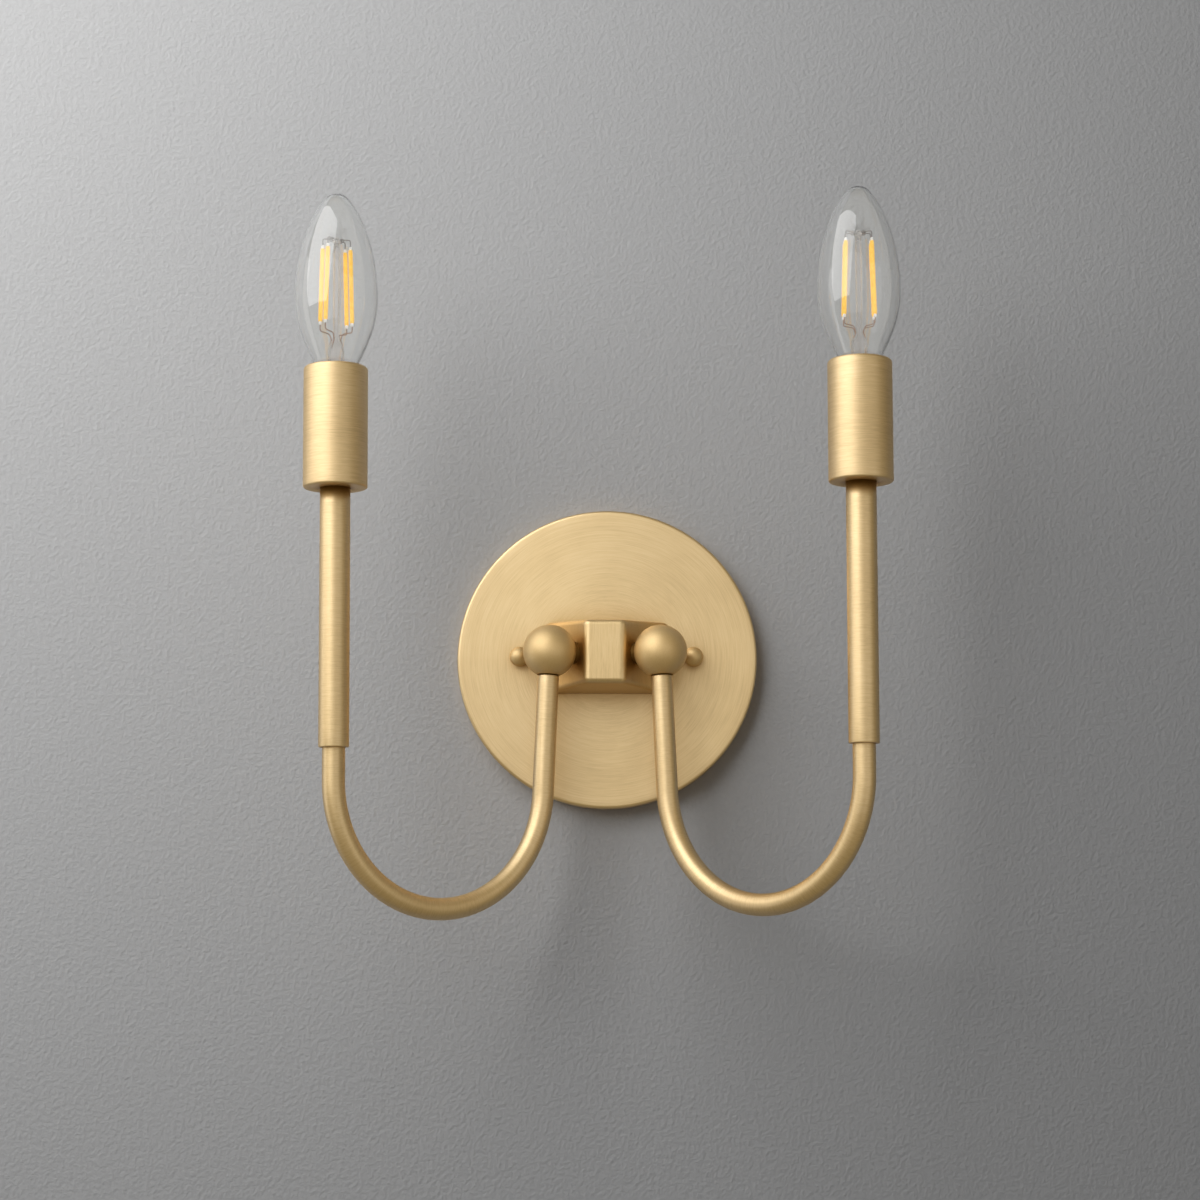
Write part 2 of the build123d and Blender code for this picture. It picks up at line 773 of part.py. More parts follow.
def make_bulb_stem(side):
    """Glass mount inside the bulb: a flared tube, its closed shoulder and the centre rod."""
    foot = contact_top + bulb_base_length - bulb_neck_in_base
    flare_radius = bulb_neck_radius - bulb_glass_wall - slip
    shoulder = contact_top + stem_shoulder
    rod_top = contact_top + stem_rod_top
    with BuildPart() as stem:
        with BuildSketch(candle_plane(side)):
            with BuildLine():
                Polyline(
                    (flare_radius, foot),
                    (stem_radius, foot + bulb_neck_in_base),
                    (stem_radius, shoulder),
                    (stem_rod_radius, shoulder + stem_cone),
                    (stem_rod_radius, rod_top),
                    (0, rod_top),
                    (0, shoulder - stem_wall),
                    (stem_radius - stem_wall, shoulder - stem_wall),
                    (stem_radius - stem_wall, foot + bulb_neck_in_base),
                    (flare_radius - stem_wall, foot),
                    close=True,
                )
            make_face()
        revolve(axis=candle_axis(side))
        bead = across_candle(side, stem_rod_top + contact_top)
        with Locations(bead.origin):
            Sphere(stem_bead_radius)
    finish(stem, f"{side}_bulb_stem")


def filament_point(side, corner, spread, height):
    """A point on the line of the filament at this corner, at a height above the contact."""
    turn = radians(filament_turn[side])
    x = corner[0] * spread
    y = corner[1] * filament_pair_gap / 2
    flat = across_candle(side, contact_top + height)
    right = (Vector(1, 0, 0) - flat.z_dir * flat.z_dir.X).normalized()
    back = flat.z_dir.cross(right)
    return flat.origin + right * (x * cos(turn) - y * sin(turn)) + back * (x * sin(turn) + y * cos(turn))


def make_filaments(side):
    """Two pairs of straight filament rods, splayed a little towards their lower ends."""
    with BuildPart() as filaments:
        for corner in corners:
            low = filament_point(side, corner, filament_bottom_spread, filament_bottom)
            high = filament_point(side, corner, filament_top_spread, filament_top)
            with BuildSketch(Plane(origin=low, z_dir=high - low)):
                Circle(filament_radius)
            extrude(amount=(high - low).length)
    finish(filaments, f"{side}_bulb_filaments")


def wire_lines(side):
    """Each support wire's corners: over the bead to a filament's top, or from the stem to its foot."""
    lines = []
    for corner in corners:
        bead = across_candle(side, contact_top + wire_crown).origin
        crown = filament_point(side, corner, filament_top_spread, wire_crown)
        high = filament_point(side, corner, filament_top_spread, filament_top + slip)
        root = filament_point(side, corner, stem_radius / 2, wire_root)
        ring = filament_point(side, corner, filament_bottom_spread, wire_ring)
        low = filament_point(side, corner, filament_bottom_spread, filament_bottom - slip)
        lines += [(bead, crown, high), (root, ring, low)]
    return lines


def make_wires(side):
    """Bent support wires of the filaments, four at the crown and four at the stem."""
    with BuildPart() as wires:
        for start, bend, end in wire_lines(side):
            with BuildLine() as path:
                Polyline(start, bend, end)
            with BuildSketch(Plane(origin=start, z_dir=bend - start)):
                Circle(wire_radius)
            sweep(path=path.line, transition=Transition.RIGHT)
    finish(wires, f"{side}_bulb_wires")


# ---------------------------------------------------------------- everything
os.makedirs("parts", exist_ok=True)
make_bracket()
make_studs()
make_lock_nuts()
make_ground_screw()
make_back_plate()
make_bushing()
make_hub()
make_hub_screws()
make_splice_caps()
for each_side in sides:
    make_nut_washer(each_side)
    make_ball_nut(each_side)
    make_ball(each_side)
    make_nipple(each_side)
    make_arm_tube(each_side)
    make_candle_tube(each_side)
    make_cup(each_side)
    make_lampholder(each_side)
    make_contact_leaf(each_side)
    make_lead(each_side, "hot", lead_offset, 1)
    make_lead(each_side, "neutral", -lead_offset, -1)
    make_bulb_glass(each_side)
    make_bulb_base(each_side)
    make_bulb_stem(each_side)
    make_filaments(each_side)
    make_wires(each_side)
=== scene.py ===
"""Dressed scene of the double arm wall sconce, in metres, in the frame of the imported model.

The wall is the plane y = 0 and the fixture stands out of it towards -y. Each visible piece is built
from the sizes below, in millimetres. Hidden pieces keep their construction solids.
"""
import math

import bmesh
import bpy
from mathutils import Matrix, Vector


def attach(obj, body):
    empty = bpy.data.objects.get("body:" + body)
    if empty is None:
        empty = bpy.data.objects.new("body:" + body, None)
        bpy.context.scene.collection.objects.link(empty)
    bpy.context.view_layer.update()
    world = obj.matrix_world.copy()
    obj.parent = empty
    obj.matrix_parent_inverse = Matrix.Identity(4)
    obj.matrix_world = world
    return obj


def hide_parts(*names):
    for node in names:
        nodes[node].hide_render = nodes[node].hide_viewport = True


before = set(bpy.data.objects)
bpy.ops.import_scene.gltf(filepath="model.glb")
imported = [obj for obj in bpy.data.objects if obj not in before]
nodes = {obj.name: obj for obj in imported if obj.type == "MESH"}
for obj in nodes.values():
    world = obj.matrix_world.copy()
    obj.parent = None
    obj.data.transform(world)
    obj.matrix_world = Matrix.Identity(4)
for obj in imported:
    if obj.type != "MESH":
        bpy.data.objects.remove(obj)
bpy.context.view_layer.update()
scene = bpy.context.scene
MM = 0.001
SIDES = {"left": -1, "right": 1}
CORNERS = [(-1, -1), (-1, 1), (1, -1), (1, 1)]
ORIGIN, RIGHT, UP = Vector((0, 0, 0)), Vector((1, 0, 0)), Vector((0, 0, 1))
ROOM = Vector((0, -1, 0))  # out of the wall, into the room

# ---------------------------------------------------------------- sizes, as in the part's source
PLATE_R, PLATE_DEPTH, PLATE_WALL, PLATE_ROUND, PLATE_HOLE_R = 68.6, 8.0, 1.2, 1.5, 5.55
STUD_X, STUD_R, STUD_END, STUD_PITCH = 39.6, 2.085, 15.2, 0.794
NUT_FACE, NUT_R, NUT_NECK_R, NUT_NECK_L = 8.6, 4.45, 3.2, 3.2
HUB_FRONT_W, HUB_BACK_W, HUB_FRONT_H, HUB_BACK_H = 17.3, 56.2, 28.2, 32.6
HUB_DEPTH, HUB_WALL, HUB_EDGE = 30.0, 3.0, 2.1
BOSS_R, BOSS_HOLE_R, BOSS_L = 4.0, 2.1, 10.0
SCREW_X, SCREW_Z, SCREW_R, SCREW_PITCH, SCREW_GRIP = 13.0, 9.8, 2.0, 0.79, 8.0
SCREW_HEAD_R, SCREW_HEAD_L = 3.7, 2.0
BALL_R, BALL_MOUTH_R, BALL_RUN, BALL_NECK_R, BALL_NECK_L = 11.85, 5.3, 9.84, 5.6, 0.9
ARM_R, ARM_START, BEND_R = 4.75, 5.6, 53.3
LEAN = math.radians(3.64)
LEG = {"left": 63.0, "right": 61.6}
SWING = {"left": math.radians(39.2), "right": math.radians(41.1)}
DROOP = {"left": math.radians(1.0), "right": 0.0}
CANDLE_R, CANDLE_LOW, TUBE_TOP = 6.35, -46.0, 71.0
CUP_R, CUP_LOW, CUP_H, CUP_WALL, CUP_FLOOR = 13.48, 62.3, 51.6, 1.8, 1.6
CONTACT_TOP, SOCKET_TOP, SHELL_R, SHELL_WALL = 87.0, 104.9, 6.33, 0.4

# bulb, with heights counted from its contact; its widest radius is a little under the part's,
# because the smoothed outline swells past its points, and the wires are a little thinner
BULB_L, BULB_R, GLASS_WALL, BULB_PITCH = 102.4, 17.48, 0.5, 2.54
BASE_R, BASE_L, BASE_LOW, BASE_WALL, FOOT_R = 5.85, 19.0, 2.9, 0.3, 3.2
GLASS_NECK_R, GLASS_FOOT = 5.5, 11.0
STEM_R, STEM_WALL, STEM_SHOULDER, STEM_CONE = 3.4, 0.6, 35.2, 4.0
ROD_R, ROD_TOP, BEAD_R = 1.3, 81.4, 1.7
FILAMENT_R, FILAMENT_LOW, FILAMENT_HIGH, FILAMENT_END = 0.9, 44.8, 79.2, 1.4
FILAMENT_LOW_OUT, FILAMENT_TOP_OUT, FILAMENT_GAP = 6.4, 5.4, 4.5
FILAMENT_TURN = {"left": math.radians(38.0), "right": 0.0}
WIRE_R, WIRE_BEND, WIRE_CROWN, WIRE_RING = 0.24, 0.9, 82.2, 42.2
EYE_R, EYE_OUT, EYE_GAP = 0.75, 2.3, 1.6

# depths of the threads, and the play left round the arm tube
STUD_THREAD, SCREW_THREAD, SHELL_THREAD, BASE_THREAD = 0.26, 0.3, 0.25, 0.28
ARM_PLAY, CUP_PLAY = 0.03, 0.05


# ---------------------------------------------------------------- places
def slant():
    """Sine and cosine of the hub's slanted side against the line out of the wall."""
    flare = (HUB_BACK_W - HUB_FRONT_W) / 2
    run = math.hypot(flare, HUB_DEPTH)
    return flare / run, HUB_DEPTH / run


def out_of_side(side):
    """Straight out of the hub's slanted side."""
    sine, cosine = slant()
    return Vector((SIDES[side] * cosine, -sine, 0))


def hub_seat(side):
    """Where the ball's neck meets the hub."""
    sine, cosine = slant()
    x = HUB_FRONT_W / 2 + sine * BALL_RUN
    return Vector((SIDES[side] * x, -PLATE_DEPTH - HUB_DEPTH + cosine * BALL_RUN, 0))


def ball_centre(side):
    """Where the ball is, at the end of its neck."""
    return hub_seat(side) + out_of_side(side) * (BALL_NECK_L + BALL_R)


def ball_mouth():
    """How far the ball's flat mouth is from its centre."""
    return math.sqrt(BALL_R**2 - BALL_MOUTH_R**2)


def arm_axes(side):
    """Outwards along the arm and up, in the plane that the arm is bent in."""
    level = Vector((SIDES[side] * math.cos(SWING[side]), -math.sin(SWING[side]), 0))
    c, s = math.cos(DROOP[side]), math.sin(DROOP[side])
    return level * c - UP * s, level * s + UP * c


def in_arm(side, x, y):
    """A point in the arm's plane, counted from the ball's centre."""
    ax, ay = arm_axes(side)
    return ball_centre(side) + ax * x + ay * y


def down_leg(side):
    """Down along the arm's inner leg."""
    ax, ay = arm_axes(side)
    return ax * math.sin(LEAN) - ay * math.cos(LEAN)


def candle_out(side):
    """How far the candle tube's axis is from the ball's centre."""
    return LEG[side] * math.sin(LEAN) + BEND_R * (1 + math.cos(LEAN))


def on_candle(side, height):
    """A point on the candle tube's axis."""
    return in_arm(side, candle_out(side), height)


def filament_point(side, corner, out, height, gap=FILAMENT_GAP):
    """A point towards one filament, at a height above the bulb's contact.

    out is its distance to the left or right of the axis. gap is the space from front to back.
    """
    up = arm_axes(side)[1]
    turn = FILAMENT_TURN[side]
    x, y = corner[0] * out, corner[1] * gap / 2
    right = (RIGHT - up * up.x).normalized()
    back = up.cross(right)
    c, s = math.cos(turn), math.sin(turn)
    centre = on_candle(side, CONTACT_TOP + height)
    return centre + right * (x * c - y * s) + back * (x * s + y * c)


# ---------------------------------------------------------------- meshes
def new_mesh():
    """An empty mesh and its UV layer."""
    bm = bmesh.new()
    return bm, bm.loops.layers.uv.new("UVMap")


def new_object(name, bm, outwards=True):
    """An object of its own for a mesh, with the faces turned outwards if asked."""
    if outwards:
        bmesh.ops.recalc_face_normals(bm, faces=bm.faces)
    mesh = bpy.data.meshes.new(name)
    bm.to_mesh(mesh)
    bm.free()
    ob = bpy.data.objects.new(name, mesh)
    scene.collection.objects.link(ob)
    return ob


def basis(axis, x_hint):
    """Square directions: x as near to the hint as can be, and z along the axis."""
    z = axis.normalized()
    x = (x_hint - z * x_hint.dot(z)).normalized()
    return x, z.cross(x), z


def turns(count):
    """The angles of a full turn in equal steps."""
    return [2 * math.pi * k / count for k in range(count)]


def radial(x, y, a):
    """A direction at an angle between two square ones."""
    return x * math.cos(a) + y * math.sin(a)


def skin(bm, uv, rows, lengths, wrap):
    """Quads between neighbouring rings; a ring of one point closes to it."""
    last = len(rows) if wrap else len(rows) - 1
    for i in range(last):
        a, b = rows[i], rows[(i + 1) % len(rows)]
        count = max(len(a), len(b))
        for k in range(count):
            corners = []
            for ring, place, row in ((a, k, 0), (a, k + 1, 0), (b, k + 1, 1), (b, k, 1)):
                vert = ring[0] if len(ring) == 1 else ring[place % count]
                if vert not in [c[0] for c in corners]:
                    corners.append((vert, place / count, lengths[i + row] * MM))
            if len(corners) < 3:
                continue
            face = bm.faces.new([c[0] for c in corners])
            face.smooth = True
            for loop, c in zip(face.loops, corners):
                loop[uv].uv = c[1:]


def lathe(name, profile, origin, axis, segments, x_hint=RIGHT, closed=True, dent=None):
    """Turns (radius, height) points round an axis. UV: share of a turn, running length in metres.

    dent, if given, maps a point's x, y, radius and height to how far it is pushed along the axis.
    """
    x, y, z = basis(axis, x_hint)
    bm, uv = new_mesh()
    lengths = [0.0]
    for (r0, h0), (r1, h1) in zip(profile, profile[1:] + profile[:1]):
        lengths.append(lengths[-1] + math.hypot(r1 - r0, h1 - h0))
    rows = []
    for r, h in profile:
        if r < 1e-6 and not dent:
            rows.append([bm.verts.new((origin + z * h) * MM)])
            continue
        ring = []
        for a in turns(segments):
            push = dent(r * math.cos(a), r * math.sin(a), r, h) if dent else 0.0
            ring.append(bm.verts.new((origin + z * (h + push) + radial(x, y, a) * r) * MM))
        rows.append(ring)
    skin(bm, uv, rows, lengths, closed)
    return new_object(name, bm)


def lathe_on_candle(name, side, base, profile, segments, closed=True):
    """Turns a profile round the candle tube's axis, with its heights counted from base."""
    ax, ay = arm_axes(side)
    return lathe(name, profile, on_candle(side, base), ay, segments, ax, closed)


def threaded(name, radius, depth, pitch, low, high, origin, axis, back=0.0, segments=48, steps=10):
    """A rounded screw thread that fades out at both ends.

    It is cut from radius inwards, or outwards where depth is negative. back is the radius of the
    plain other side: 0 for a solid screw.
    """
    x, y, z = basis(axis, RIGHT)
    bm, uv = new_mesh()
    count = int((high - low) / pitch * steps) + 1

    def ring(h, reach):
        return [bm.verts.new((origin + z * h + radial(x, y, a) * reach(a)) * MM)
                for a in turns(segments)]

    rows, lengths = [], []
    for i in range(count + 1):
        h = low + (high - low) * i / count
        fade = max(0.0, min(1.0, (h - low) / pitch, (high - h) / pitch))
        rows.append(ring(h, lambda a: radius - depth * (
            1 - fade + fade * (0.5 - 0.5 * math.cos(2 * math.pi * h / pitch - a)))))
        lengths.append(h - low)
    for h in (high, low):
        rows.append(ring(h, lambda a: back) if back else [bm.verts.new((origin + z * h) * MM)])
        lengths.append(lengths[-1] + 1.0)
    if back:
        skin(bm, uv, rows, lengths + [lengths[-1] + 1.0], True)
    else:
        skin(bm, uv, rows[:-1], lengths, False)
        skin(bm, uv, [rows[0], rows[-1]], lengths, False)
    return new_object(name, bm)


def arc(cx, cy, r, start, end, steps):
    """Points of an arc from start to end in degrees, both included."""
    angles = [math.radians(start + (end - start) * k / steps) for k in range(steps + 1)]
    return [(cx + r * math.cos(a), cy + r * math.sin(a)) for a in angles]


def between(first, last, steps):
    """Evenly spaced points after the first and up to the last."""
    return [tuple(a + (b - a) * k / steps for a, b in zip(first, last))
            for k in range(1, steps + 1)]


def add_tube(bm, points, radii, segments):
    """Adds a round tube along points, with a radius at each. Its UV is as a lathe's."""
    up = None
    rows, lengths = [], [0.0]
    for i, p in enumerate(points):
        if i:
            lengths.append(lengths[-1] + (p - points[i - 1]).length)
        before, after = points[max(i - 1, 0)], points[min(i + 1, len(points) - 1)]
        along = (after - before).normalized()
        if up is None:
            up = along.orthogonal().normalized()
        up = (up - along * up.dot(along)).normalized()
        across = along.cross(up)
        rows.append([bm.verts.new((p + radial(up, across, a) * radii[i]) * MM)
                     for a in turns(segments)])
    first, last = [bm.verts.new(points[0] * MM)], [bm.verts.new(points[-1] * MM)]
    uv = bm.loops.layers.uv.active
    skin(bm, uv, [first] + rows + [last], [0.0] + lengths + [lengths[-1]], False)


# ---------------------------------------------------------------- materials
def material(name):
    """A new material, its node tree and its shader."""
    mat = bpy.data.materials.new(name)
    mat.use_nodes = True
    tree = mat.node_tree
    return mat, tree, tree.nodes["Principled BSDF"]


def give(node, values):
    """Sets a node's inputs by their names."""
    for socket, value in values.items():
        node.inputs[socket].default_value = value


def noise(tree, vector, scale, detail, rough=0.55):
    """Noise from 0 to 1 at the coordinates given."""
    node = tree.nodes.new("ShaderNodeTexNoise")
    give(node, {"Scale": scale, "Detail": detail, "Roughness": rough})
    tree.links.new(vector, node.inputs["Vector"])
    return node.outputs["Fac"]


def coordinates(tree, scale=(1, 1, 1)):
    """Object coordinates, stretched."""
    source = tree.nodes.new("ShaderNodeTexCoord")
    stretch = tree.nodes.new("ShaderNodeMapping")
    give(stretch, {"Scale": scale})
    tree.links.new(source.outputs["Object"], stretch.inputs["Vector"])
    return stretch.outputs["Vector"]


def ramp(tree, fac, stops):
    """A colour from (place, colour) stops."""
    node = tree.nodes.new("ShaderNodeValToRGB")
    for k, (at, color) in enumerate(stops):
        stop = node.color_ramp.elements[k] if k < 2 else node.color_ramp.elements.new(at)
        stop.position = at
        stop.color = (*color, 1)
    tree.links.new(fac, node.inputs["Fac"])
    return node.outputs["Color"]


def spread(tree, fac, low, high, source=(0.0, 1.0)):
    """Maps a value from the source's range to low and high."""
    node = tree.nodes.new("ShaderNodeMapRange")
    give(node, {"From Min": source[0], "From Max": source[1], "To Min": low, "To Max": high})
    tree.links.new(fac, node.inputs["Value"])
    return node.outputs["Result"]


def math_node(tree, kind, a, b):
    """Joins two sockets or numbers."""
    node = tree.nodes.new("ShaderNodeMath")
    node.operation = kind
    for socket, value in zip(node.inputs, (a, b)):
        if isinstance(value, (int, float)):
            socket.default_value = value
        else:
            tree.links.new(value, socket)
    return node.outputs["Value"]


def blend(tree, a, b, share):
    """A share of a, and the rest of b."""
    part, rest = math_node(tree, "MULTIPLY", a, share), math_node(tree, "MULTIPLY", b, 1 - share)
    return math_node(tree, "ADD", part, rest)


def bump(tree, shader, height, distance, strength):
    """A relief too fine for the mesh, with its distance in metres."""
    node = tree.nodes.new("ShaderNodeBump")
    give(node, {"Distance": distance, "Strength": strength})
    tree.links.new(height, node.inputs["Height"])
    tree.links.new(node.outputs["Normal"], shader.inputs["Normal"])


def facing(tree, power, low, high):
    """Low where a surface is seen straight on, high along its outline."""
    node = tree.nodes.new("ShaderNodeLayerWeight")
    give(node, {"Blend": 0.5})
    return spread(tree, math_node(tree, "POWER", node.outputs["Facing"], power), low, high)


def round_the_axis(tree, per_turn, per_metre):
    """Coordinates for marks that run round a turned piece, with no seam."""
    source = tree.nodes.new("ShaderNodeTexCoord")
    split = tree.nodes.new("ShaderNodeSeparateXYZ")
    join = tree.nodes.new("ShaderNodeCombineXYZ")
    tree.links.new(source.outputs["UV"], split.inputs["Vector"])
    angle = math_node(tree, "MULTIPLY", split.outputs["X"], 2 * math.pi)
    reach = per_turn / (2 * math.pi)
    for kind, socket in (("COSINE", "X"), ("SINE", "Y")):
        wave = math_node(tree, kind, angle, 0.0)
        tree.links.new(math_node(tree, "MULTIPLY", wave, reach), join.inputs[socket])
    rows = math_node(tree, "MULTIPLY", split.outputs["Y"], per_metre)
    tree.links.new(rows, join.inputs["Z"])
    return join.outputs["Vector"]


BRASS_DEEP, BRASS, BRASS_PALE = (0.60, 0.425, 0.18), (0.735, 0.54, 0.255), (0.81, 0.62, 0.34)
# the deep brown that painted shade takes in crevices, and the tint of the metal's edges
BRASS_PAINTED_SHADE, BRASS_EDGE = (0.44, 0.235, 0.01), (0.78, 0.57, 0.30)
# how far the painted shade in crevices reaches in metres, and the open shares from fully shaded to
# unshaded
PAINTED_SHADE_REACH, PAINTED_SHADE_RANGE = 0.013, (0.3, 0.93)


def brushed_brass(name, marks, rough, relief, aniso=0.0, contrast=1.0, coat_ior=2.05):
    """Satin brass under a thin lacquer, with shade painted darker where pieces meet.

    marks(tree) gives the coordinates that the hairlines run along.
    """
    mat, tree, shader = material(name)
    hair = noise(tree, marks(tree), 1.0, 5.0, 0.68)
    cloud = noise(tree, coordinates(tree), 45.0, 3.0, 0.5)
    tone = blend(tree, hair, cloud, 0.7)
    wide = 0.22 / contrast
    stops = [(0.5 - wide, BRASS_DEEP), (0.5 + wide, BRASS_PALE), (0.5, BRASS)]
    # painted shade: ambient occlusion turns the colour deep brown in crevices and gaps between
    # pieces
    shade_ao = tree.nodes.new("ShaderNodeAmbientOcclusion")
    shade_ao.samples = 6
    give(shade_ao, {"Distance": PAINTED_SHADE_REACH})
    unshaded_share = spread(tree, shade_ao.outputs["AO"], 0.0, 1.0, PAINTED_SHADE_RANGE)
    mix = tree.nodes.new("ShaderNodeMix")
    mix.data_type = "RGBA"
    give(mix, {"A": (*BRASS_PAINTED_SHADE, 1)})
    tree.links.new(unshaded_share, mix.inputs["Factor"])
    tree.links.new(ramp(tree, tone, stops), mix.inputs["B"])
    tree.links.new(mix.outputs["Result"], shader.inputs["Base Color"])
    gloss = spread(tree, tone, rough + 0.05, rough - 0.05, (0.3, 0.7))
    tree.links.new(gloss, shader.inputs["Roughness"])
    give(shader, {"Metallic": 1.0, "Specular Tint": (*BRASS_EDGE, 1), "Coat Weight": 1.0,
                  "Coat Roughness": rough * 0.85, "Coat IOR": coat_ior})
    if aniso:
        give(shader, {"Anisotropic": aniso, "Anisotropic Rotation": 0.25})
        tangent = tree.nodes.new("ShaderNodeTangent")
        tangent.direction_type = "UV_MAP"
        tangent.uv_map = "UVMap"
        tree.links.new(tangent.outputs["Tangent"], shader.inputs["Tangent"])
    bump(tree, shader, hair, 0.00010, 0.16 * relief)
    return mat


def plain(name, color, rough, metallic, shade, grain, relief=0.0, painted_glow=0.0):
    """A moulded, plated or painted surface: small shifts of tone and gloss, a faint relief, and a
    painted glow where one is given.
    """
    mat, tree, shader = material(name)
    place = coordinates(tree)
    fine = noise(tree, place, grain, 5.0)
    slow = noise(tree, place, grain / 9, 2.0)
    dark = [c * (1 - shade) for c in color]
    pale = [min(1, c * (1 + shade)) for c in color]
    tone = ramp(tree, blend(tree, fine, slow, 0.6), [(0.3, dark), (0.7, pale)])
    tree.links.new(tone, shader.inputs["Base Color"])
    low, high = max(0.03, rough - 0.08), min(1, rough + 0.08)
    tree.links.new(spread(tree, slow, low, high), shader.inputs["Roughness"])
    give(shader, {"Metallic": metallic})
    if painted_glow:
        give(shader, {"Emission Color": (*color, 1), "Emission Strength": painted_glow})
    if relief:
        bump(tree, shader, fine, relief, 0.4)
    return mat


def clear_glass(name, tint, ior, haze, power=1.0, coat=0.0):
    """Blown glass. Haze scatters light along the outline, the narrower the higher the power.

    Coat adds a brighter mirror image.
    """
    mat, tree, shader = material(name)
    wave = noise(tree, coordinates(tree), 45.0, 1.0)
    pale = [min(1, c * 1.01) for c in tint]
    tree.links.new(ramp(tree, wave, [(0.2, tint), (0.8, pale)]), shader.inputs["Base Color"])
    give(shader, {"Roughness": 0.0, "IOR": ior, "Transmission Weight": 1.0, "Coat Weight": coat,
                  "Coat Roughness": 0.02, "Coat IOR": 1.8})
    tree.links.new(facing(tree, power, 1.0, 1.0 - haze), shader.inputs["Transmission Weight"])
    bump(tree, shader, wave, 0.0004, 0.05)
    return mat


def phosphor(name, pale, deep, painted_glow):
    """Silicone with phosphor, given a painted glow so that it shines though the bulb is unlit:
    deeper in tone between the chips.
    """
    mat, tree, shader = material(name)
    chips = noise(tree, coordinates(tree, (900, 900, 520)), 1.0, 2.0)
    fine = noise(tree, coordinates(tree), 4200.0, 3.0)
    tone = blend(tree, chips, fine, 0.7)
    color = ramp(tree, tone, [(0.32, deep), (0.66, pale)])
    tree.links.new(color, shader.inputs["Base Color"])
    tree.links.new(spread(tree, fine, 0.32, 0.55), shader.inputs["Roughness"])
    # painted glow: the unlit filaments are made to shine a little
    give(shader, {"Emission Color": (*painted_glow, 1), "Emission Strength": 0.62,
                  "Subsurface Weight": 0.25, "Subsurface Scale": 0.5,
                  "Subsurface Radius": (0.0012, 0.0006, 0.0002)})
    bump(tree, shader, tone, 0.00006, 0.5)
    return mat


# marks per turn and per metre, or per metre along x, y and z; then roughness, relief, anisotropy
brass_plate = brushed_brass("brass_plate", lambda t: round_the_axis(t, 22, 2400), 0.43, 0.8, 0.25)
brass_tube = brushed_brass("brass_tube", lambda t: round_the_axis(t, 7, 2200), 0.49, 0.7, 0.2)
brass_cup = brushed_brass("brass_cup", lambda t: round_the_axis(t, 10, 2400), 0.55, 0.9, 0.2, 1.1)
brass_ball = brushed_brass("brass_ball", lambda t: coordinates(t, (2500, 2500, 2500)), 0.58, 0.2,
                           contrast=0.4, coat_ior=1.7)
brass_hub = brushed_brass("brass_hub", lambda t: coordinates(t, (2200, 2200, 130)), 0.43, 0.6,
                          coat_ior=1.9)
# colour, roughness, metallic, shift of tone, grains per metre, relief in metres
zinc = plain("zinc_steel", (0.56, 0.57, 0.58), 0.36, 1.0, 0.12, 1200.0, 0.00004)
green = plain("green_screw", (0.05, 0.26, 0.10), 0.35, 0.5, 0.12, 1500.0, 0.00003)
nylon = plain("nylon", (0.80, 0.79, 0.74), 0.42, 0.0, 0.04, 700.0, 0.00002)
phenolic = plain("phenolic_black", (0.022, 0.021, 0.020), 0.36, 0.0, 0.3, 1400.0, 0.00003)
contact_brass = plain("contact_brass", (0.76, 0.57, 0.30), 0.28, 1.0, 0.1, 900.0, 0.00002)
nickel = plain("nickel_base", (0.70, 0.69, 0.66), 0.24, 1.0, 0.08, 1100.0, 0.00002)
lead_black = plain("lead_black", (0.022, 0.022, 0.023), 0.42, 0.0, 0.2, 800.0, 0.00002)
lead_white = plain("lead_white", (0.78, 0.78, 0.75), 0.42, 0.0, 0.05, 800.0, 0.00002)
black_glass = plain("black_glass", (0.016, 0.012, 0.018), 0.1, 0.0, 0.2, 600.0)
solder = plain("solder", (0.62, 0.62, 0.61), 0.33, 1.0, 0.12, 1300.0, 0.00006)
wire_copper = plain("wire_copper", (0.46, 0.31, 0.24), 0.3, 1.0, 0.2, 2500.0)
wire_grey = plain("wire_grey", (0.34, 0.32, 0.31), 0.3, 1.0, 0.15, 2500.0)
# painted glow: the white filament ends shine a little though the bulb is unlit
filament_white = plain("filament_end", (0.92, 0.91, 0.88), 0.45, 0.0, 0.05, 2500.0, painted_glow=0.35)
# painted shade: the neck is painted near-black brown for the shade between the ball and the hub
neck_painted_shade = plain("neck_painted_shade", (0.20, 0.11, 0.03), 0.6, 1.0, 0.1, 900.0)
# tint, index, haze, power of the haze, coat
glass = clear_glass("clear_glass", (0.98, 0.985, 0.98), 1.5, 0.5, 4.0, 0.4)
stem_glass = clear_glass("stem_glass", (1.0, 0.96, 0.94), 1.36, 0.9)
bead_glass = clear_glass("bead_glass", (1.0, 0.96, 0.93), 1.5, 0.9, 0.4, 0.5)
filament_yellow = phosphor("filament_phosphor", (1.0, 0.74, 0.16), (0.96, 0.48, 0.03),
                           (1.0, 0.55, 0.05))


# ---------------------------------------------------------------- who wears what
def paint(node, mat):
    """A new finish for a construction solid whose shape is right."""
    ob = nodes[node]
    ob.data.materials.clear()
    ob.data.materials.append(mat)


def dress(ob, mat, body, slot, *stands_for):
    """Gives a scene piece its finish and body, and hides the nodes that it stands for; slot is not
    used.
    """
    ob.data.materials.append(mat)
    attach(ob, body)
    if stands_for:
        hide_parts(*stands_for)


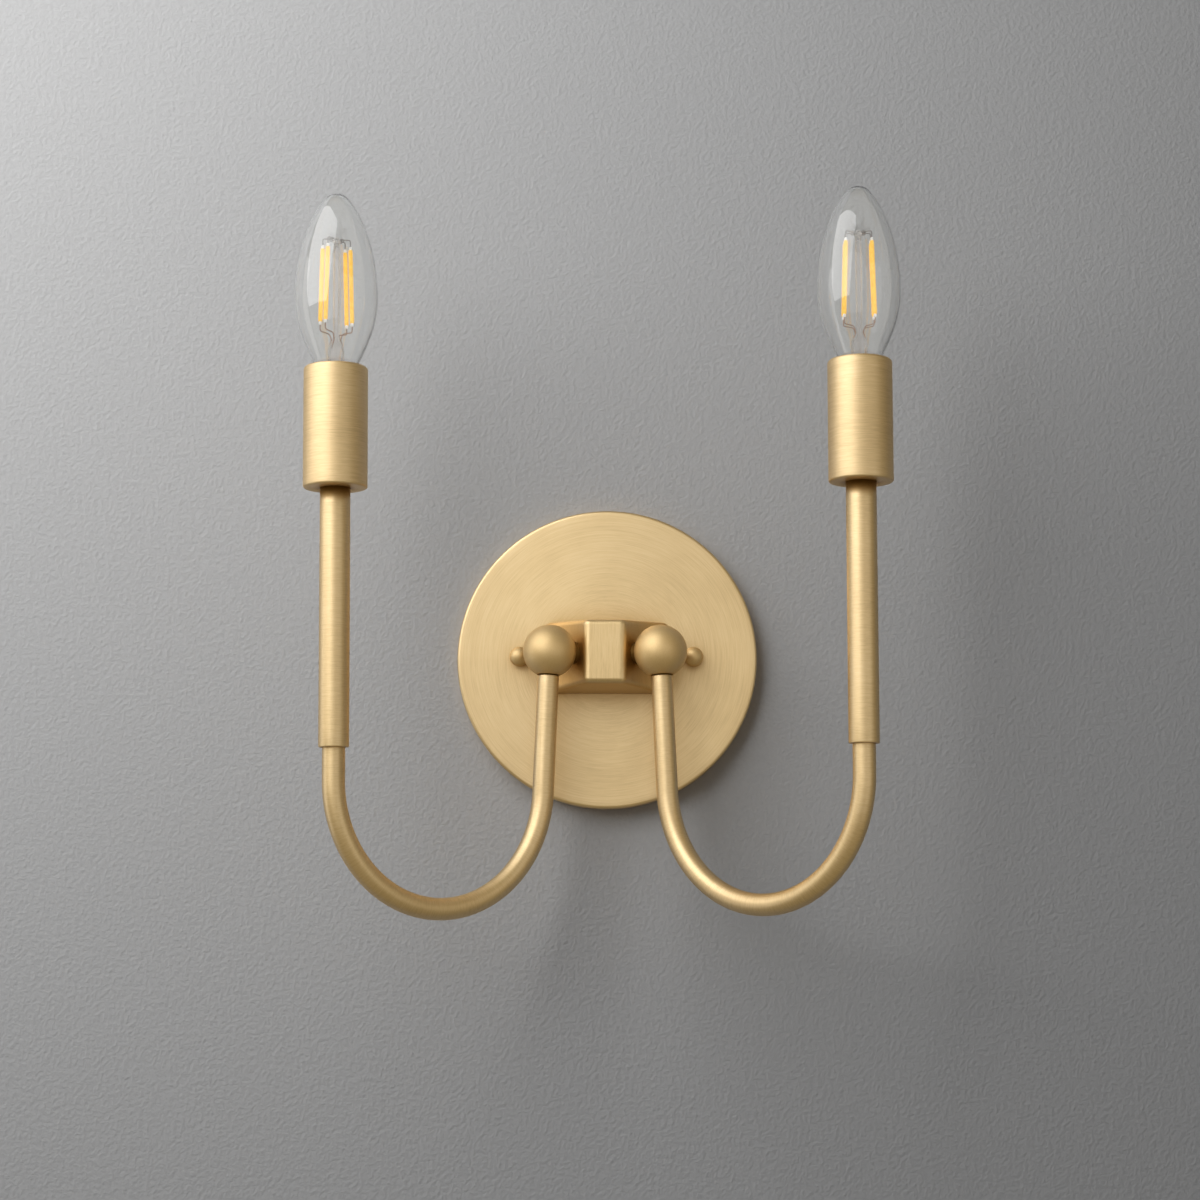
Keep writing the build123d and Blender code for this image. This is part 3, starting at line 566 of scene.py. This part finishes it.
FIXTURE_FINISHES = {
    "mounting_bracket": zinc,
    "stud_lock_nuts": zinc,
    "ground_screw": green,
    "wire_bushing": nylon,
    "splice_caps": nylon,
}
SIDE_FINISHES = {
    "ball_nipple": zinc,
    "nipple_nut": zinc,
    "cup_nut": zinc,
    "socket_body": phenolic,
    "socket_contact": contact_brass,
    "hot_lead": lead_black,
    "neutral_lead": lead_white,
    "bulb_insulator": black_glass,
    "bulb_contact": solder,
    "nut_washer": brass_ball,
}
for node, finish in FIXTURE_FINISHES.items():
    paint(node, finish)
for side in SIDES:
    for node, finish in SIDE_FINISHES.items():
        paint(f"{side}_{node}", finish)


# ---------------------------------------------------------------- back plate, hub and hardware
def make_back_plate():
    """Spun pan: flat face with concentric hairlines, rounded rim, thin wall."""
    r, inside, back = PLATE_R, PLATE_R - PLATE_WALL, PLATE_DEPTH - PLATE_WALL
    edge, inner_edge, inner_round, middle = 0.25, 0.2, 0.6, 30.0
    start = (PLATE_HOLE_R, PLATE_DEPTH)
    profile = [start] + between(start, (r - PLATE_ROUND, PLATE_DEPTH), 24)
    profile += arc(r - PLATE_ROUND, PLATE_DEPTH - PLATE_ROUND, PLATE_ROUND, 90, 0, 8)[1:]
    profile += [(r, edge), (r - edge, 0), (inside + inner_edge, 0), (inside, inner_edge)]
    profile += arc(inside - inner_round, back - inner_round, inner_round, 0, 90, 4)
    profile += [(middle, back), (PLATE_HOLE_R, back)]
    ob = lathe("back_plate_dressed", profile, ORIGIN, ROOM, segments=224)
    dress(ob, brass_plate, "fixture", "brushed_brass", "back_plate")


def make_hub():
    """Hollow faceted block with softly rounded edges, open towards the plate."""
    share = (HUB_DEPTH - HUB_WALL) / HUB_DEPTH
    side_wall = HUB_WALL / slant()[1]
    levels = [
        (PLATE_DEPTH, HUB_BACK_W, HUB_BACK_H),
        (PLATE_DEPTH + HUB_DEPTH, HUB_FRONT_W, HUB_FRONT_H),
        (PLATE_DEPTH + HUB_DEPTH * share,
         HUB_BACK_W + (HUB_FRONT_W - HUB_BACK_W) * share - 2 * side_wall,
         HUB_BACK_H + (HUB_FRONT_H - HUB_BACK_H) * share - 2 * HUB_WALL),
        (PLATE_DEPTH, HUB_BACK_W - 2 * side_wall, HUB_BACK_H - 2 * HUB_WALL),
    ]
    bm = bmesh.new()
    around = [(-1, -1), (1, -1), (1, 1), (-1, 1)]
    rings = [[bm.verts.new((ROOM * out + RIGHT * (x * w / 2) + UP * (z * h / 2)) * MM)
              for x, z in around] for out, w, h in levels]
    for near, far in zip(rings, rings[1:] + rings[:1]):
        if near is rings[1]:
            bm.faces.new(near)
            bm.faces.new(far)
            continue
        for k in range(4):
            bm.faces.new((near[k], near[(k + 1) % 4], far[(k + 1) % 4], far[k]))
    bmesh.ops.recalc_face_normals(bm, faces=bm.faces)
    outside = [e for e in bm.edges if e.verts[0] in rings[1] or e.verts[1] in rings[1]]
    bmesh.ops.bevel(bm, geom=outside, offset=HUB_EDGE * MM, offset_type="OFFSET", segments=7,
                    profile=0.5, affect="EDGES")
    for f in bm.faces:
        f.smooth = True
    ob = new_object("hub_dressed", bm)
    flats = ob.modifiers.new("flats", "WEIGHTED_NORMAL")
    flats.weight = 100
    dress(ob, brass_hub, "fixture", "brushed_brass", "hub")


def make_hub_bosses():
    """Posts inside the hub that take its screws."""
    profile = [(BOSS_HOLE_R, 0), (BOSS_R, 0), (BOSS_R, BOSS_L), (BOSS_HOLE_R, BOSS_L)]
    for k, (x, z) in enumerate(CORNERS):
        at = Vector((x * SCREW_X, -PLATE_DEPTH, z * SCREW_Z))
        boss = lathe(f"hub_boss_{k + 1}", profile, at, ROOM, 40)
        dress(boss, brass_hub, "fixture", "brushed_brass")


RECESS_FLAT_R, RECESS_R, RECESS_ARM, RECESS_DEPTH = 2.4, 1.7, 0.32, 1.05


def cross_recess(x, y, r, h):
    """Depth of a cross recess in the flat of a screw's head, which faces the wall."""
    flat_height, side_slope, end_slope = 0.2, 0.16, 0.5
    if h > flat_height or r > RECESS_FLAT_R:
        return 0.0
    arm = max(0.0, 1.0 - max(0.0, min(abs(x), abs(y)) - RECESS_ARM) / side_slope)
    reach = max(0.0, 1.0 - max(0.0, r - RECESS_R) / end_slope)
    return RECESS_DEPTH * arm * reach


def make_hub_screws():
    """Pan heads with cross recesses, on threaded shanks."""
    face = PLATE_DEPTH - PLATE_WALL
    r, length, corner, centre = SCREW_HEAD_R, SCREW_HEAD_L, 0.8, 0.001
    profile = [(centre, -0.02)] + between((centre, 0), (RECESS_FLAT_R, 0), 20)
    profile += [(r - corner, 0.05)] + arc(r - corner, corner, corner, -75, 0, 6)
    profile += [(r, length - 0.25), (r - 0.2, length), (centre, length)]
    for k, (x, z) in enumerate(CORNERS):
        at = Vector((x * SCREW_X, 0, z * SCREW_Z))
        head = lathe(f"hub_screw_head_{k + 1}", profile, at + ROOM * (face - length), ROOM, 96,
                     closed=False, dent=cross_recess)
        dress(head, zinc, "fixture", "zinc_steel")
        shank = threaded(f"hub_screw_shank_{k + 1}", SCREW_R, SCREW_THREAD, SCREW_PITCH, face,
                         PLATE_DEPTH + SCREW_GRIP, at, ROOM, segments=24)
        dress(shank, zinc, "fixture", "zinc_steel", *(["hub_screws"] if k == 0 else []))


def make_studs():
    """Threaded studs with tapered tips."""
    for k, (name, s) in enumerate(SIDES.items()):
        at = Vector((s * STUD_X, 0, 0))
        stud = threaded(f"{name}_stud", STUD_R, STUD_THREAD, STUD_PITCH, 0.0, STUD_END, at, ROOM,
                        segments=32, steps=8)
        dress(stud, zinc, "fixture", "zinc_steel", *(["canopy_studs"] if k == 0 else []))


def make_ball_nut(side):
    """Turned nut: a ball on a short waisted neck."""
    at = Vector((SIDES[side] * STUD_X, 0, 0))
    middle = NUT_FACE + NUT_NECK_L + math.sqrt(NUT_R**2 - NUT_NECK_R**2)
    cut = math.degrees(math.asin(NUT_NECK_R / NUT_R))
    bore, waist, edge, collar = STUD_R + 0.08, NUT_NECK_R - 0.25, 0.25, 0.9
    profile = [(bore, middle), (bore, NUT_FACE), (NUT_NECK_R - edge, NUT_FACE)]
    profile += [(NUT_NECK_R, NUT_FACE + edge), (NUT_NECK_R, NUT_FACE + collar)]
    profile += [(waist, NUT_FACE + collar + 0.4), (waist, NUT_FACE + NUT_NECK_L * 0.8)]
    profile += [(-x, y) for x, y in arc(0, middle, NUT_R, 270 - cut, 90, 30)]
    profile[-1] = (0, middle + NUT_R)
    ob = lathe(f"{side}_ball_nut_dressed", profile, at, ROOM, 64, closed=False)
    dress(ob, brass_ball, f"{side}_nut", "brushed_brass", f"{side}_ball_nut")


# ---------------------------------------------------------------- balls, arms, candle tubes, cups
def make_ball(side):
    """Ball with its flat mouth round the arm tube."""
    bore, mouth, edge = ARM_R + ARM_PLAY, ball_mouth(), 0.1
    profile = arc(0, 0, BALL_R, -90, 90 - math.degrees(math.asin(BALL_MOUTH_R / BALL_R)), 60)
    profile[0] = (0, -BALL_R)
    profile += [(BALL_MOUTH_R - 0.15, mouth), (bore, mouth - edge), (bore, 0)]
    ball = lathe(f"{side}_ball_dressed", profile, ball_centre(side), down_leg(side), 112,
                 closed=False)
    dress(ball, brass_ball, "fixture", "brushed_brass", f"{side}_ball")


def make_ball_neck(side):
    """Short neck between the hub and the ball, slimmer than its seat and let into the ball, painted
    dark as shade.
    """
    let_in, slimmer = 0.4, 0.7
    depth = BALL_NECK_L + BALL_R - math.sqrt(BALL_R**2 - BALL_NECK_R**2) + let_in
    waist = BALL_NECK_R - slimmer
    profile = [(0, 0), (waist + 0.1, 0), (waist, 0.2)]
    profile += between((waist, 0.2), (waist, depth), 3) + [(0, depth)]
    neck = lathe(f"{side}_ball_neck", profile, hub_seat(side), out_of_side(side), 64, UP,
                 closed=False)
    dress(neck, neck_painted_shade, "fixture", "brushed_brass")


def make_arm(side):
    """Bent tube: inner leg with a rounded shoulder under the ball's mouth, bend, outer leg."""
    leg, mouth = LEG[side], ball_mouth()
    slim, drop, shoulder, shoulder_run = 0.5, 0.42, mouth + 0.25, 0.6
    straight = shoulder + shoulder_run
    runs = [(ARM_START, ARM_R - slim), (mouth + 0.2, ARM_R - slim), (shoulder, ARM_R - drop)]
    runs += [(shoulder + shoulder_run * k / 6, ARM_R - drop * (1 - math.sin(math.pi * k / 12)))
             for k in range(1, 7)]
    runs += [(straight + (leg - straight) * k / 12, ARM_R) for k in range(1, 13)]
    points = [in_arm(side, t * math.sin(LEAN), -t * math.cos(LEAN)) for t, r in runs]
    x = leg * math.sin(LEAN) + BEND_R * math.cos(LEAN)
    y = -leg * math.cos(LEAN) + BEND_R * math.sin(LEAN)
    for k in range(1, 121):
        a = math.pi + LEAN + (math.pi - LEAN) * k / 120
        points.append(in_arm(side, x + BEND_R * math.cos(a), y + BEND_R * math.sin(a)))
    outer = candle_out(side)
    points += [in_arm(side, *p) for p in between((outer, y), (outer, TUBE_TOP), 12)]
    radii = [r for t, r in runs]
    radii += [ARM_R] * (len(points) - len(radii))
    bm, _ = new_mesh()
    add_tube(bm, points, radii, 56)
    ob = new_object(f"{side}_arm_tube_dressed", bm)
    dress(ob, brass_tube, "fixture", "brushed_brass", f"{side}_arm_tube")


def make_candle(side):
    """Sleeve with a rounded lower lip."""
    r, low, lip, bore = CANDLE_R, CANDLE_LOW, 0.5, ARM_R + ARM_PLAY
    profile = [(bore, low + 0.1), (ARM_R + 0.25, low)] + arc(r - lip, low + lip, lip, -90, 0, 6)
    profile += between((r, low + lip), (r, CUP_LOW), 14) + [(bore, CUP_LOW)]
    ob = lathe_on_candle(f"{side}_candle_tube_dressed", side, 0, profile, 72)
    dress(ob, brass_tube, "fixture", "brushed_brass", f"{side}_candle_tube")


def make_cup(side):
    """Turned cup with a soft rim, open at its top."""
    r, low, top = CUP_R, CUP_LOW, CUP_LOW + CUP_H
    inner, bore, floor = r - CUP_WALL, ARM_R + CUP_PLAY, low + CUP_FLOOR
    foot, rim, edge = 0.9, 1.4, 0.15
    profile = [(bore, low)] + arc(r - foot, low + foot, foot, -90, 0, 8)
    profile += between((r, low + foot), (r, top - rim), 14)
    profile += arc(r - rim, top - rim, rim, 0, 82, 10)[1:] + [(inner + 0.12, top - 0.02)]
    profile += [(inner, top - edge)] + between((inner, top - edge), (inner, floor), 8)
    profile += [(bore, floor)]
    ob = lathe_on_candle(f"{side}_socket_cup_dressed", side, 0, profile, 112)
    dress(ob, brass_cup, "fixture", "brushed_brass", f"{side}_socket_cup")


def make_socket_shell(side):
    """Threaded lining of the lampholder."""
    ob = threaded(f"{side}_socket_shell_dressed", SHELL_R - SHELL_WALL, -SHELL_THREAD, BULB_PITCH,
                  CONTACT_TOP, SOCKET_TOP - SHELL_WALL, on_candle(side, 0), arm_axes(side)[1],
                  back=SHELL_R)
    dress(ob, contact_brass, "fixture", "contact_brass", f"{side}_socket_shell")


# ---------------------------------------------------------------- bulbs
# outline of the glass in shares of its widest radius: radius, depth below the tip
GLASS_SHAPE = [
    (0.0, 0.0), (0.14, 0.035), (0.286, 0.14), (0.457, 0.39), (0.586, 0.62), (0.69, 0.86),
    (0.789, 1.16), (0.87, 1.45), (0.93, 1.75), (0.975, 2.1), (1.0, 2.5), (0.985, 2.9),
    (0.90, 3.35), (0.76, 3.75), (0.61, 4.09), (0.44, 4.45), (0.33, 4.7), (0.317, 4.766),
]


def smooth_profile(points, steps=6):
    """Catmull-Rom through the points."""
    out = []
    padded = [points[0]] + points + [points[-1]]
    for p0, p1, p2, p3 in zip(padded, padded[1:], padded[2:], padded[3:]):
        for k in range(steps):
            t = k / steps
            out.append(tuple(
                0.5 * (2 * b + (c - a) * t + (2 * a - 5 * b + 4 * c - d) * t**2
                       + (3 * b - a - 3 * c + d) * t**3)
                for a, b, c, d in zip(p0, p1, p2, p3)
            ))
    out.append(points[-1])
    return out


def make_bulb_glass(side):
    """Clear candle-shaped envelope with a real wall."""
    outline = smooth_profile(GLASS_SHAPE)
    outer = [(max(0, r * BULB_R), BULB_L - t * BULB_R) for r, t in outline]
    thin, tip = BULB_R - GLASS_WALL, BULB_L - GLASS_WALL
    inner = [(max(0, r * thin), tip - t * thin) for r, t in outline]
    outer[0], inner[0] = (0, BULB_L), (0, tip)
    neck = [(GLASS_NECK_R, GLASS_FOOT), (GLASS_NECK_R - GLASS_WALL, GLASS_FOOT)]
    profile = outer + neck + list(reversed(inner))
    ob = lathe_on_candle(f"{side}_bulb_glass_dressed", side, CONTACT_TOP, profile, 112,
                         closed=False)
    dress(ob, glass, f"{side}_bulb", "bulb_glass", f"{side}_bulb_glass")


def make_bulb_base(side):
    """Screw base with its rolled thread, and the ring that closes its foot."""
    inside, top = BASE_R - BASE_THREAD - 0.05, BASE_LOW + BASE_WALL
    ob = threaded(f"{side}_bulb_base_dressed", BASE_R, BASE_THREAD, BULB_PITCH, BASE_LOW, BASE_L,
                  on_candle(side, CONTACT_TOP), arm_axes(side)[1], back=inside, segments=64)
    dress(ob, nickel, f"{side}_bulb", "bulb_base", f"{side}_bulb_base")
    profile = [(FOOT_R, BASE_LOW), (inside, BASE_LOW), (inside, top), (FOOT_R, top)]
    foot = lathe_on_candle(f"{side}_bulb_base_foot", side, CONTACT_TOP, profile, 48)
    dress(foot, nickel, f"{side}_bulb", "bulb_base")


def make_stem(side):
    """Glass mount: flared foot, tube, pinched shoulder and rod, with a bead at its end."""
    r, inner, shoulder, tube_low = STEM_R, STEM_R - STEM_WALL, STEM_SHOULDER, BASE_L + 1
    flare = GLASS_NECK_R - GLASS_WALL - 0.05
    rod_low = shoulder + STEM_CONE + 0.4
    bead_start = -math.degrees(math.acos(ROD_R / BEAD_R))
    rod_end = ROD_TOP + BEAD_R * math.sin(math.radians(bead_start))
    bead = arc(0, ROD_TOP, BEAD_R, bead_start, 90, 14)
    bead[-1] = (0, ROD_TOP + BEAD_R)
    ob = lathe_on_candle(f"{side}_bulb_bead", side, CONTACT_TOP, [(0, rod_end)] + bead, 40,
                         closed=False)
    dress(ob, bead_glass, f"{side}_bulb", "bulb_glass")
    profile = [(flare, GLASS_FOOT), (flare - 0.5, GLASS_FOOT + 1.2)]
    profile += [(r + 0.25, GLASS_FOOT + 5.0), (r, tube_low)]
    profile += between((r, tube_low), (r, shoulder - 1.2), 6)
    profile += [(r * 0.97, shoulder - 0.3), (r * 0.86, shoulder + 0.8), (r * 0.66, shoulder + 2.0)]
    profile += [(ROD_R + 0.35, shoulder + STEM_CONE - 0.6), (ROD_R, rod_low)]
    profile += between((ROD_R, rod_low), (ROD_R, rod_end), 8) + [(0, rod_end)]
    hollow = [(0, tube_low + 1.6), (inner, tube_low + 0.4), (inner, tube_low),
              (flare - STEM_WALL, GLASS_FOOT)]
    profile = list(reversed(profile)) + list(reversed(hollow))
    ob = lathe_on_candle(f"{side}_bulb_stem_dressed", side, CONTACT_TOP, profile, 56,
                         closed=False)
    dress(ob, stem_glass, f"{side}_bulb", "bulb_glass", f"{side}_bulb_stem")


def bent_line(route, bend):
    """Points along a wire of straight runs with rounded corners."""
    thirds, sixths = [k / 3 for k in (1, 2, 3)], [k / 6 for k in range(1, 7)]
    points = [route[0]]
    for before, corner, after in zip(route, route[1:], route[2:]):
        into, away = (corner - before).normalized(), (after - corner).normalized()
        turn = min(bend, (corner - before).length * 0.45, (after - corner).length * 0.45)
        first, last, start = corner - into * turn, corner + away * turn, points[-1]
        points += [start + (first - start) * t for t in thirds]
        points += [first * (1 - t) ** 2 + corner * (2 * t * (1 - t)) + last * t**2 for t in sixths]
    start = points[-1]
    return points + [start + (route[-1] - start) * t for t in thirds]


def add_filament(side, corner, rods, tips):
    """One rod of phosphor with bare white ends."""
    low = filament_point(side, corner, FILAMENT_LOW_OUT, FILAMENT_LOW)
    high = filament_point(side, corner, FILAMENT_TOP_OUT, FILAMENT_HIGH)
    line = high - low
    end = FILAMENT_END / line.length
    points = [low + line * (end + (1 - 2 * end) * k / 24) for k in range(25)]
    radii = [FILAMENT_R * (0.86 if k in (0, 24) else 1.0) for k in range(25)]
    add_tube(rods, points, radii, 20)
    for a, b in ((0.0, end), (1 - end, 1.0)):
        points = [low + line * (a + (b - a) * k / 4) for k in range(5)]
        add_tube(tips, points, [FILAMENT_R * k for k in (0.45, 0.66, 0.7, 0.66, 0.5)], 16)


def add_wires(side, corner, grey, copper):
    """The wires of one filament: grey from the bead to its top, copper from the stem up."""
    top = STEM_SHOULDER + STEM_CONE
    eye = [filament_point(side, corner, EYE_OUT + EYE_R * math.sin(a),
                          WIRE_CROWN - 0.3 + EYE_R * math.cos(a), EYE_GAP)
           for a in [math.pi * k / 8 for k in range(17)]]
    add_tube(grey, eye, [WIRE_R * 0.8] * len(eye), 10)
    crown = [on_candle(side, CONTACT_TOP + WIRE_CROWN),
             filament_point(side, corner, FILAMENT_TOP_OUT, WIRE_CROWN),
             filament_point(side, corner, FILAMENT_TOP_OUT, FILAMENT_HIGH)]
    # out, height, gap: along the stem's pinched shoulder, over its top, a knee, and to the rod
    stations = [(2.4, top - 4.6, 2.4), (2.4, top - 2.8, 2.4), (1.5, top - 0.7, 2.0),
                (2.3, WIRE_RING - 0.9, 3.4), (FILAMENT_LOW_OUT, WIRE_RING, FILAMENT_GAP),
                (FILAMENT_LOW_OUT, FILAMENT_LOW, FILAMENT_GAP)]
    lower = [filament_point(side, corner, *station) for station in stations]
    for wires, route in ((grey, crown), (copper, lower)):
        points = bent_line(route, WIRE_BEND)
        add_tube(wires, points, [WIRE_R] * len(points), 12)


def make_filaments(side):
    """Rods of phosphor, and the bent wires that carry them."""
    rods, tips, grey, copper = [new_mesh()[0] for _ in range(4)]
    for corner in CORNERS:
        add_filament(side, corner, rods, tips)
        add_wires(side, corner, grey, copper)
    body = f"{side}_bulb"
    ob = new_object(f"{side}_filament_rods", rods)
    dress(ob, filament_yellow, body, "filament_yellow", f"{side}_bulb_filaments")
    dress(new_object(f"{side}_filament_ends", tips), filament_white, body, "filament_yellow")
    ob = new_object(f"{side}_bulb_wires_dressed", copper)
    dress(ob, wire_copper, body, "wire_metal", f"{side}_bulb_wires")
    dress(new_object(f"{side}_bulb_crown_wires", grey), wire_grey, body, "wire_metal")


make_back_plate()
make_hub()
make_hub_bosses()
make_hub_screws()
make_studs()
for side in SIDES:
    make_ball_nut(side)
    make_ball(side)
    make_ball_neck(side)
    make_arm(side)
    make_candle(side)
    make_cup(side)
    make_socket_shell(side)
    make_bulb_glass(side)
    make_bulb_base(side)
    make_stem(side)
    make_filaments(side)

# ---------------------------------------------------------------- stage, in metres
WALL_Y, WALL_HOLE_R, WALL_REACH, WALL_TONE = 0.0004, 0.060, 1.15, 0.66


def make_wall():
    """The wall, with an opening behind the pan, and clear when it is seen from behind."""
    bm = bmesh.new()
    hole, rim = [], []
    for a in turns(96):
        reach = WALL_REACH / max(abs(math.cos(a)), abs(math.sin(a)))
        for ring, r in ((hole, WALL_HOLE_R), (rim, reach)):
            ring.append(bm.verts.new((r * math.cos(a), WALL_Y, r * math.sin(a))))
    for k in range(len(hole)):
        face = bm.faces.new((hole[k - 1], hole[k], rim[k], rim[k - 1]))
        face.normal_update()
        if face.normal.y > 0:
            face.normal_flip()
    ob = new_object("stage_wall", bm, outwards=False)
    mat, tree, shader = material("stage_wall")
    grain = noise(tree, coordinates(tree), 520.0, 2.0, 0.6)
    tone = ramp(tree, grain, [(0.35, (WALL_TONE * 0.98,) * 3), (0.65, (WALL_TONE * 1.02,) * 3)])
    tree.links.new(tone, shader.inputs["Base Color"])
    give(shader, {"Roughness": 0.9, "Specular IOR Level": 0.2})
    bump(tree, shader, grain, 0.0005, 0.7)
    geometry = tree.nodes.new("ShaderNodeNewGeometry")
    clear = tree.nodes.new("ShaderNodeBsdfTransparent")
    mix = tree.nodes.new("ShaderNodeMixShader")
    tree.links.new(geometry.outputs["Backfacing"], mix.inputs["Fac"])
    tree.links.new(shader.outputs["BSDF"], mix.inputs[1])
    tree.links.new(clear.outputs["BSDF"], mix.inputs[2])
    tree.links.new(mix.outputs["Shader"], tree.nodes["Material Output"].inputs["Surface"])
    ob.data.materials.append(mat)


# ---------------------------------------------------------------- light
# strength of the world on matt surfaces, in mirror images, and where it is looked at
AMBIENT, SURROUND, BACKDROP = 0.08, 0.28, 0.75
SURROUND_TINT = (1.0, 0.84, 0.52)


def make_world():
    """A studio that lights little by itself, and is warm in mirror images."""
    world = bpy.data.worlds.new("studio")
    scene.world = world
    world.use_nodes = True
    tree = world.node_tree
    background = tree.nodes["Background"]
    path = tree.nodes.new("ShaderNodeLightPath")
    camera_ray, glass_ray = path.outputs["Is Camera Ray"], path.outputs["Is Transmission Ray"]
    not_through = math_node(tree, "SUBTRACT", 1.0, glass_ray)
    mirror_ray = math_node(tree, "MULTIPLY", path.outputs["Is Glossy Ray"], not_through)
    tint = ramp(tree, mirror_ray, [(0.0, (1, 1, 1)), (1.0, SURROUND_TINT)])
    tree.links.new(tint, background.inputs["Color"])
    strength = AMBIENT
    for ray, level in ((camera_ray, BACKDROP), (glass_ray, BACKDROP), (mirror_ray, SURROUND)):
        more = math_node(tree, "MULTIPLY", ray, level - AMBIENT)
        strength = math_node(tree, "ADD", more, strength)
    tree.links.new(strength, background.inputs["Strength"])


def softbox(name, at, to, width, height, radiance, lights_matt=True):
    """A rectangular lamp of an even brightness: radiance 1 looks white."""
    data = bpy.data.lights.new(name, "AREA")
    data.shape = "RECTANGLE"
    data.size, data.size_y = width, height
    data.energy = radiance * math.pi * width * height
    ob = bpy.data.objects.new(name, data)
    scene.collection.objects.link(ob)
    ob.location = at
    ob.rotation_mode = "QUATERNION"
    ob.rotation_quaternion = (Vector(to) - Vector(at)).to_track_quat("-Z", "Y")
    ob.visible_transmission = False
    ob.visible_diffuse = lights_matt


make_wall()
make_world()
# place and aim, width and height in metres, radiance
softbox("key", (-0.50, -0.48, 0.50), ORIGIN, 0.85, 0.9, 2.5)
softbox("left_strip", (-1.1, -0.16, 0.05), (0, -0.08, 0.05), 0.36, 1.2, 1.15)
softbox("front", (-0.45, -1.7, 0.35), ORIGIN, 1.6, 1.5, 0.70, lights_matt=False)
softbox("right_fill", (0.95, -1.25, 0.1), ORIGIN, 1.2, 1.4, 0.52, lights_matt=False)
softbox("rear", (0.5, 1.4, 0.7), ORIGIN, 1.2, 1.2, 1.5)

# ---------------------------------------------------------------- camera, fitted to the photo
FOCAL_PX, IMAGE_PX, SENSOR_MM = 2200.0, 1200.0, 36.0
YAW, PITCH, ROLL = 0.0304178, 0.1373153, 0.0045866
CAMERA_AT = Vector((0.02724, -1.00823, -0.11133))


def make_camera():
    """The camera that took the photo."""
    data = bpy.data.cameras.new("photo_camera")
    data.sensor_width = SENSOR_MM
    data.lens = SENSOR_MM * FOCAL_PX / IMAGE_PX
    camera = bpy.data.objects.new("photo_camera", data)
    scene.collection.objects.link(camera)
    level = Vector((math.cos(YAW), math.sin(YAW), 0))
    ahead = Vector((-math.sin(YAW), math.cos(YAW), 0))
    forward = ahead * math.cos(PITCH) + UP * math.sin(PITCH)
    upright = level.cross(forward)
    right = level * math.cos(ROLL) + upright * math.sin(ROLL)
    up = upright * math.cos(ROLL) - level * math.sin(ROLL)
    rotation = Matrix((right, up, -forward)).transposed()
    camera.matrix_world = Matrix.Translation(CAMERA_AT) @ rotation.to_4x4()
    scene.camera = camera


make_camera()
scene.view_settings.view_transform = "Standard"
